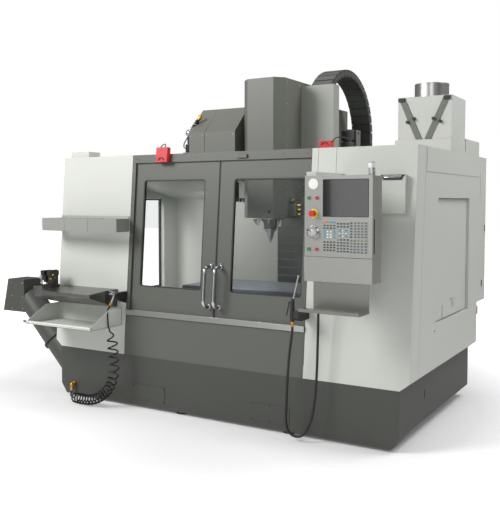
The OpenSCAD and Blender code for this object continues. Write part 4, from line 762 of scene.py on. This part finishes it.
bolts("cover_bolts",
      [(x + dx, -3.3, z) for x in (-721, 374) for dx in (12, 160, 308) for z in (76, 180)],
      (0, -1, 0), 5, mat=BLACK_PAINT)
bolts("panel_bolts", [(1538.3, y, z) for y in (640, 1000, 1400) for z in (912, 1646)], (1, 0, 0), 6)
bolts("header_bolts", [(x, 0, up(1982)) for x in range(-760, 780, 190)], (0, -1, 0), 5, 2, LEANED,
      mat=DOOR)
bolts("stile_bolts", [(-791, 0, z) for z in range(850, 1950, 260)], (0, -1, 0), 4, 2, LEANED)
bolts("chute_bolts", [(x, 20, z) for x in (-2120, -1985) for z in (690, 800, 920)],
      (0, -1, 0), 5, 2.5)
bolts("wall_bolts", [(x, 1655, z) for x in (-300, 620, -900, 1100) for z in range(760, 1650, 110)],
      (0, -1, 0), 6, 3)
bolts("cabinet_bolts", [(1560, y, z) for y in (1830, 1960) for z in (830, 1250, 1650, 1985)],
      (1, 0, 0), 5, 2)

# Rubber seals, and painted shade: thin black strips along the front's seams
shape = Shape(BLACK, LEANED)
# Painted shade: black strips where the seams' gaps lie in shade
shape.box((-809.5, -0.4, up(500)), (-806, 0.3, up(2012)))
shape.box((797.5, -0.4, up(500)), (800, 0.3, up(2012)))
for x in (848, 986):
    shape.box((x, -0.35, up(1700)), (x + 2, 0.3, up(2010)))
shape.make("front_seam_shade", "machine")
for mirror, body, name in ((-1, "left_door_slide", "left"), (1, "right_door_slide", "right")):
    leaf = LEANED @ Matrix.Translation((28, 0, 0)) @ Matrix.Diagonal((mirror, 1, 1, 1))
    shape = Shape(BLACK, leaf)
    low, high = up(966), up(966) + 850
    shape.frame(soft_rect(129.4, low + 0.4, 722.6, high - 0.4, 22, 17.5),
                soft_rect(138, low + 9, 714, high - 9, 14, 17.5), (0, 21, 0))
    shape.box((1.2, 14.9, 762), (8, 16.1, 1990))
    shape.make(name + "_door_seals", body)
    shape = Shape(STEEL, leaf)
    for z in (858, 1176):
        for dx in (-9, 9):
            shape.bolt((45 + dx, 15.9, up(z)), (0, -1, 0), 3.5)
    for x, z in ((20, 1975), (400, 1975), (800, 1975), (20, 776), (400, 776), (800, 776)):
        shape.bolt((x, 16, z), (0, -1, 0), 4, height=2)
    shape.make(name + "_door_bolts", body)

shape = Shape(BLACK)
shape.frame([(-1560.3, y, z) for y, z in ((571, 779), (597, 1667), (1439, 1667), (1439, 779))],
            [(-1560.3, y, z) for y, z in ((586, 794), (611, 1652), (1424, 1652), (1424, 794))],
            (20, 0, 0))
shape.make("side_window_seal", "machine")

# Interlock switches: the curved slot on each face, and the cables
shape = Shape(BLACK)
for x0, x1, y, z0, z1 in ((-544, -436, 87, 1950, 2056), (844, 934, 144.6, 2020, 2060)):
    mid = (x0 + x1) / 2
    shape.tube(smooth_path([(mid - 26, y, z0 + 12), (mid - 20, y - 3, z0 + 26),
                            (mid, y - 4, z0 + 32), (mid + 20, y - 3, z0 + 26),
                            (mid + 26, y, z0 + 12)], 6), 3, sides=8)
shape.tube(smooth_path([(-470, 110, 2060), (-465, 112, 2082), (-500, 140, 2092), (-560, 170, 2070),
                        (-600, 180, 2024), (-604, 180, 2012)], 10), 4, sides=8)
shape.tube(smooth_path([(925, 171, 2045), (950, 172, 2076), (1000, 180, 2088), (1050, 196, 2070),
                        (1078, 214, 2030), (1082, 220, 2012)], 10), 4, sides=8)
shape.make("interlock_cables", "machine")

# Energy chain: pins and rib ends on both sides of each link, round the middle of its arc
shape = Shape(CHAIN_SIDE)
CHAIN_Y, CHAIN_Z = 1490, 2245
for side, out in ((318, -1), (498, 1)):
    for k in range(17):
        a = math.radians(9 * k)
        for turn, r, size in ((-2.6, 510, 8), (2.6, 510, 8), (0, 528, 4), (0, 490, 4)):
            b = a + math.radians(turn)
            at = Vector((side, CHAIN_Y + r * math.cos(b), CHAIN_Z + r * math.sin(b)))
            # The chain box hides the links at the front end
            if at.z < 2615 and at.y < 1200:
                continue
            shape.rod(at - Vector((out, 0, 0)), at + Vector((2.2 * out, 0, 0)), size, sides=10)
for z in (2115, 2150, 2190, 2222):
    shape.rod((317, 2000, z), (315.5, 2000, z), 8, sides=10)
    shape.rod((497, 2000, z), (500.5, 2000, z), 8, sides=10)
pins = shape.make("chain_pins", "machine")


def follower(names, name):
    """One piece made of others, for a part that runs between a fixed end and the moving head."""
    bm = bmesh.new()
    mesh = bpy.data.meshes.new(name)
    bpy.context.view_layer.update()
    for source in names:
        old = bpy.data.objects[source]
        part = old.data.copy()
        part.transform(old.matrix_world)
        offset = len(mesh.materials)
        for m in old.data.materials:
            mesh.materials.append(m)
        for face in part.polygons:
            face.material_index += offset
        bm.from_mesh(part)
    bm.to_mesh(mesh)
    piece = bpy.data.objects.new(name, mesh)
    bpy.context.scene.collection.objects.link(piece)
    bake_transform(piece)
    return piece


chain = follower(["energy_chain", "chain_pins"], "chain_moving")
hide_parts("energy_chain")
bpy.data.objects.remove(pins)
cover = follower(["way_cover"], "way_cover_moving")
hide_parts("way_cover")

# Head: fasteners, nozzles, fittings and cooling hoses
shape = Shape([COVER, STEEL, BLACK, BRASS])
for z in (1540, 1700, 1760, 2100, 2440, 2620):
    for y in (830, 1050):
        shape.bolt((230, y, z), (1, 0, 0), 5, STEEL, 2)
        shape.bolt((-154, y, z), (-1, 0, 0), 5, STEEL, 2)
for x, y in ((-70, 812), (-40, 790), (128, 800), (150, 840)):
    a = Vector((x, y, 1494))
    inward = (Vector((38, 895, 1494)) - a).normalized()
    shape.rod(a, a - Vector((0, 0, 16)), 9, BRASS, 12)
    shape.ball(a - Vector((0, 0, 18)), 8, STEEL, 12)
    shape.rod(a - Vector((0, 0, 20)), a - Vector((0, 0, 54)) + inward * 22, 4.5, STEEL, 12, r2=3)
shape.tube(smooth_path([(242, 900, 1498), (236, 880, 1480), (222, 868, 1456), (206, 864, 1440)], 6),
           4, STEEL, 10)
for z in (1537, 1573, 1609):
    shape.rod((325, 890, z), (332, 890, z), 12, BRASS, 6)
    shape.tube(smooth_path([(330, 890, z), (350, 892, z + 2), (366, 905, z + 16),
                            (368, 935, z + 40), (350, 990, z + 90), (300, 1060, z + 140),
                            (250, 1090, z + 160)], 10), 5.5, BLACK, 10)
shape.box((231, 870, 1640), (262, 960, 1668), STEEL, bevel=2)
for y in (885, 915, 945):
    shape.rod((261, y, 1654), (272, y, 1654), 6, BRASS, 6)
shape.make("head_fittings", "head_body")

# Tip of the tool changer's arm, reaching out from above
shape = Shape([BLACK, STEEL])
shape.post((-300, 900), 1652, 1993, 20, BLACK, 24)
shape.rod((-350, 900, 1653), (-168, 900, 1653), 14, BLACK, 20, bevel=3)
for x in (-330, -270, -235, -200):
    shape.rod((x, 900, 1653), (x + 8, 900, 1653), 19, STEEL, 20)
shape.post((-210, 900), 1645, 1622, 10, STEEL, 12)
shape.make("changer_arm", "machine")

# Pendant: keys, screen bezel, screws and the wheel's dish. The keys' places were measured in
# an enlarged crop of the photograph, whose scales across and down differ
CROP_LEFT, CROP_TOP, ACROSS, DOWN = 277, 145, 1.45, 1.59
BEZEL_TOP = 230


def key(px, py, mat, w=14.0, h=9.0):
    """A key at a place of the crop."""
    u, v = (px - CROP_LEFT) / ACROSS, BEZEL_TOP - (py - CROP_TOP) / DOWN
    shape.box((u - w / 2, -2.6, v - h / 2), (u + w / 2, -1.0, v + h / 2), mat, bevel=0.5)


shape = Shape([KEY_GREY, KEY_BLACK, KEY_BLUE, KEY_ORANGE, WHITE, KEY_OLIVE, KEY_DIM], PENDANT)
key(309, 565, KEY_ORANGE, 36, 10)
for x in (357, 390):
    key(x, 565, KEY_BLUE, 18, 10)
for y in (598, 625):
    for x in (293, 325, 357, 390):
        key(x, y, KEY_DIM)
for y in (658, 686, 713):
    for x in (293, 390):
        key(x, y, KEY_BLUE)
    for x in (325, 357):
        key(x, y, WHITE, 13, 9)
for y in (762, 790, 815, 842):
    for x in (293, 325, 357, 390):
        key(x, y, KEY_BLACK)
for y in (578, 607):
    for x in (428, 460, 490, 523):
        key(x, y, KEY_BLACK)
for y in (645, 700):
    for x in (446, 506):
        key(x, y, KEY_BLUE, 13, 11)
    key(476, y, WHITE, 10, 7)
for x in (446, 476, 506):
    key(x, 672, WHITE, 10, 7)
for i, y in enumerate((736, 765, 793, 822, 850)):
    for x in (428, 460, 490, 523):
        key(x, y, KEY_OLIVE if i == 0 and x == 428 else KEY_DIM)
    for x in (557, 590, 625, 660, 695):
        key(x, y + 4, KEY_OLIVE if i == 0 and x > 610 else KEY_GREY)
for y in (570, 597, 624, 651, 678, 705):
    for x in (557, 595, 628, 662, 695):
        key(x, y, KEY_DIM if x == 557 else KEY_GREY)
shape.make("keypad_keys", "pendant_body")

shape = Shape(BLACK, PENDANT)
shape.frame(soft_rect(-3, -1, 307, 233, 4, -0.4), soft_rect(0.2, 2.2, 303.8, 229.8, 2, -0.4),
            (0, 1.4, 0))
shape.box((-129.6, -0.3, -253.4), (329.6, 0.4, -251))
angles = [2 * math.pi * k / 28 for k in range(27)]
shape.tube([(-68 + 24 * math.cos(a), -23.2, -97 + 24 * math.sin(a)) for a in angles], 1.6, sides=6)
shape.make("pendant_lines", "pendant_body")
places = [(u, -0.2, w) for u in (-124, 324) for w in (247, 130, 0, -120, -238)]
places += [(u, -6.4, w) for u in (-124, 324) for w in (-272, -340)]
places += [(u, -4, -402) for u in (-124, 10, 160, 324)]
places += [(10, -0.2, 249), (160, -0.2, 249), (10, -0.2, -243), (160, -0.2, -243)]
bolts("pendant_screws", places, (0, -1, 0), 3.5, 2, PENDANT, "pendant_body")
places = [(326, 40, w) for w in (200, 150, 40)] + [(326, 110, w) for w in (200, 40, -200, -380)]
bolts("pendant_side_screws", places, (1, 0, 0), 3.5, 2, PENDANT, "pendant_body")
shape = Shape(STEEL, PENDANT)
shape.rod((-68, -24.2, -97), (-68, -22.8, -97), 31, sides=36)
shape.rod((-68, -26, -97), (-68, -24, -97), 12, sides=24, bevel=0.5)
shape.make("jog_dish", "wheel_body")
shape = Shape(CHROME, PENDANT)
shape.post((308, 40), 330, 336, 18, sides=24, bevel=2)
for w in (262, 276, 290):
    shape.post((308, 40), w, w + 4, 21.5, sides=24)
shape.make("beacon_rings", "pendant_body")

# Tool tray seams as thin black strips of painted shade, vise fittings, gun and elbow details
shape = Shape(BLACK)
for x, y in ((-1332, -119.6), (-1059, -140.6)):
    # Painted shade: black strips on the tray's front at its seams
    shape.box((x, y - 0.4, 1400), (x + 2, y + 1.5, 1500))
shape.make("tray_seam_shade", "machine")
shape = Shape(BRASS)
shape.rod((-1500, -147, 960), (-1500, -156, 960), 8, sides=6)
shape.ball((-1456, -128, 1032), 9, sides=14)
shape.rod((-1466, -140, 1000), (-1466, -154, 1000), 8, sides=6)
shape.make("vise_fittings", "machine")
shape = Shape([BRASS, STEEL])
for at, wall in (((-1350, -34, 110), 0), ((948, -70, 1050), 52)):
    at = Vector(at)
    shape.rod(at + Vector((0, wall - at.y - 14, 0)), at + Vector((0, wall - at.y - 3, 0)), 19,
              BRASS, 6)
    shape.rod(at - Vector((0, 0, 38)), at - Vector((0, 0, 24)), 17, BRASS, 6)
    shape.rod(at - Vector((0, 0, 52)), at - Vector((0, 0, 38)), 12, STEEL, 16)
shape.make("elbow_nuts", "machine")
shape = Shape(BRASS)
shape.rod(AIR_AT + 72 * AIR_WAY, AIR_AT + 84 * AIR_WAY, 14, sides=6)
shape.rod(AIR_AT + 88 * AIR_WAY, AIR_AT + 97 * AIR_WAY, 13.5, sides=20)
shape.make("air_gun_nuts", "machine")

# Document holder's clip
shape = Shape(CHROME, LEANED)
clip_z = up(1814)
shape.box((1352, -52, clip_z - 22), (1464, -44, clip_z - 17), bevel=1)
shape.rod((1380, -50, clip_z - 14), (1436, -50, clip_z - 14), 5, sides=16)
for x in (1340, 1480):
    shape.bolt((x, -44.5, up(1790)), (0, -1, 0), 4)
shape.make("clip_parts", "machine")

# Mist collector: fasteners, drum ribs and outlet
DRUM_XY = (1325.5, 1170.5)
shape = Shape([STEEL, DRUM, BLACK])
for x in (1133, 1526):
    for z in (2130, 2220, 2320, 2425):
        shape.bolt((x, 980, z), (0, -1, 0), 5, STEEL, 2)
for y in (1000, 1170, 1340):
    for z in (2130, 2425):
        shape.bolt((1538, y, z), (1, 0, 0), 5, STEEL, 2)
for z in (2444, 2545):
    shape.post(DRUM_XY, z, z + 5, 132, DRUM, 48)
shape.post(DRUM_XY, 2551, 2553.5, 96, BLACK, 40)
for spot in circle(DRUM_XY, 118, 2552, 8, 10):
    shape.bolt(spot, (0, 0, 1), 5, STEEL, 3)
shape.make("mist_fittings", "machine")

# Rear cabinet door: louvres
shape = Shape(LIGHT)
for x0 in (720, 1180):
    for k in range(9):
        z = 900 + 26 * k
        shape.prism([(x0, 2006, z), (x0, 2013, z + 2), (x0, 2006, z + 16)], (240, 0, 0))
shape.make("door_louvres", "cabinet_door_body")


# Floor, backdrop and light

FLOOR_GREY, FLOOR_LIFT = 0.86, 0.1
FADE_FROM, FADE_TO = 2.1, 4.6  # Distances from the middle, in metres
FLOOR_HALF, FLOOR_Z = 30, -0.0005
ROOM_LIGHT = 0.27
CORNERS = ((-1, -1), (1, -1), (1, 1), (-1, 1))  # Of a square, in order


def stage_material(name, value, lift):
    """A matt floor that brightens into the backdrop away from the machine."""
    m = bpy.data.materials.new(name)
    m.use_nodes = True
    tree = m.node_tree
    bsdf = tree.nodes["Principled BSDF"]
    bsdf.inputs["Base Color"].default_value = (value, value, value, 1)
    bsdf.inputs["Roughness"].default_value = 0.55
    glow = tree.nodes.new("ShaderNodeEmission")
    geometry = tree.nodes.new("ShaderNodeNewGeometry")
    away = tree.nodes.new("ShaderNodeVectorMath")
    away.operation = "LENGTH"
    tree.links.new(geometry.outputs["Position"], away.inputs[0])
    fade = tree.nodes.new("ShaderNodeMapRange")
    for key, number in (("From Min", FADE_FROM), ("From Max", FADE_TO), ("To Min", lift),
                        ("To Max", 1)):
        fade.inputs[key].default_value = number
    tree.links.new(away.outputs["Value"], fade.inputs["Value"])
    tree.links.new(fade.outputs["Result"], glow.inputs["Strength"])
    rays = tree.nodes.new("ShaderNodeLightPath")
    add = tree.nodes.new("ShaderNodeAddShader")
    mix = tree.nodes.new("ShaderNodeMixShader")
    tree.links.new(bsdf.outputs[0], add.inputs[0])
    tree.links.new(glow.outputs[0], add.inputs[1])
    tree.links.new(rays.outputs["Is Camera Ray"], mix.inputs[0])
    tree.links.new(bsdf.outputs[0], mix.inputs[1])
    tree.links.new(add.outputs[0], mix.inputs[2])
    tree.links.new(mix.outputs[0], tree.nodes["Material Output"].inputs["Surface"])
    return m


mesh = bpy.data.meshes.new("floor")
mesh.from_pydata([(x * FLOOR_HALF, y * FLOOR_HALF, FLOOR_Z) for x, y in CORNERS],
                 [], [(0, 1, 2, 3)])
mesh.materials.append(stage_material("floor", FLOOR_GREY, FLOOR_LIFT))
floor = bpy.data.objects.new("floor", mesh)
bpy.context.scene.collection.objects.link(floor)
floor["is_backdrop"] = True

world = bpy.data.worlds.new("world")
bpy.context.scene.world = world
world.use_nodes = True
tree = world.node_tree
background = tree.nodes["Background"]
rays = tree.nodes.new("ShaderNodeLightPath")
white = tree.nodes.new("ShaderNodeBackground")
white.inputs["Strength"].default_value = 1.0
white.inputs["Color"].default_value = (1, 1, 1, 1)
background.inputs["Color"].default_value = (1, 1, 1, 1)
background.inputs["Strength"].default_value = ROOM_LIGHT
seen = tree.nodes.new("ShaderNodeMath")
seen.operation = "MAXIMUM"
tree.links.new(rays.outputs["Is Camera Ray"], seen.inputs[0])
tree.links.new(rays.outputs["Is Transmission Ray"], seen.inputs[1])
mix = tree.nodes.new("ShaderNodeMixShader")
tree.links.new(seen.outputs[0], mix.inputs[0])
tree.links.new(background.outputs[0], mix.inputs[1])
tree.links.new(white.outputs[0], mix.inputs[2])
tree.links.new(mix.outputs[0], tree.nodes["World Output"].inputs["Surface"])


def lamp(name, at, to, size, watts):
    """A rectangular lamp aimed at a point."""
    data = bpy.data.lights.new(name, "AREA")
    data.shape = "RECTANGLE"
    data.size, data.size_y = size
    data.energy = watts
    o = bpy.data.objects.new(name, data)
    o.location = at
    o.rotation_mode = "QUATERNION"
    o.rotation_quaternion = (Vector(to) - Vector(at)).to_track_quat("-Z", "Y")
    bpy.context.scene.collection.objects.link(o)


lamp("key", (-3.4, -5.6, 5.2), (0, 0, 1.2), (3, 3), 500)
lamp("side", (4.4, 1.2, 5.6), (1.4, 0.2, 1.4), (2.5, 2.5), 190)
lamp("right", (3.4, -6.5, 3.2), (1.2, -0.6, 1.2), (2.5, 2.5), 55)
lamp("top", (0, 1, 8), (0, 0, 0), (6, 5), 170)
lamp("chamber", (-0.55, 0.2, 1.62), (-0.35, 0.5, 0.9), (0.8, 0.5), 5)


def card(name, at, to, size, value):
    """A plane that only reflections see, so that polished metal has something to mirror."""
    mesh = bpy.data.meshes.new(name)
    w, h = size[0] / 2, size[1] / 2
    mesh.from_pydata([(x * w, y * h, 0) for x, y in CORNERS], [], [(0, 1, 2, 3)])
    m = bpy.data.materials.new(name)
    m.use_nodes = True
    glow = m.node_tree.nodes.new("ShaderNodeEmission")
    glow.inputs["Strength"].default_value = value
    m.node_tree.links.new(glow.outputs[0], m.node_tree.nodes["Material Output"].inputs["Surface"])
    mesh.materials.append(m)
    o = bpy.data.objects.new(name, mesh)
    o.location = at
    o.rotation_mode = "QUATERNION"
    o.rotation_quaternion = (Vector(to) - Vector(at)).to_track_quat("Z", "Y")
    for ray in ("camera", "diffuse", "transmission", "volume_scatter", "shadow"):
        setattr(o, "visible_" + ray, False)
    bpy.context.scene.collection.objects.link(o)
    o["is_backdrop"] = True


card("soft_box", (-1.2, -8.5, 1.9), (0.6, -1.2, 1.3), (2.2, 5), 2.2)
card("dark_left", (-4.5, -8.5, 2.0), (0, 0, 1.3), (3.4, 6), 0.02)
card("dark_right", (1.6, -9.5, 2.0), (0, 0, 1.3), (2.4, 6), 0.12)
card("dark_side", (9.0, -2.5, 2.0), (0, 0, 1.3), (3.0, 5), 0.05)

low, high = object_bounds()
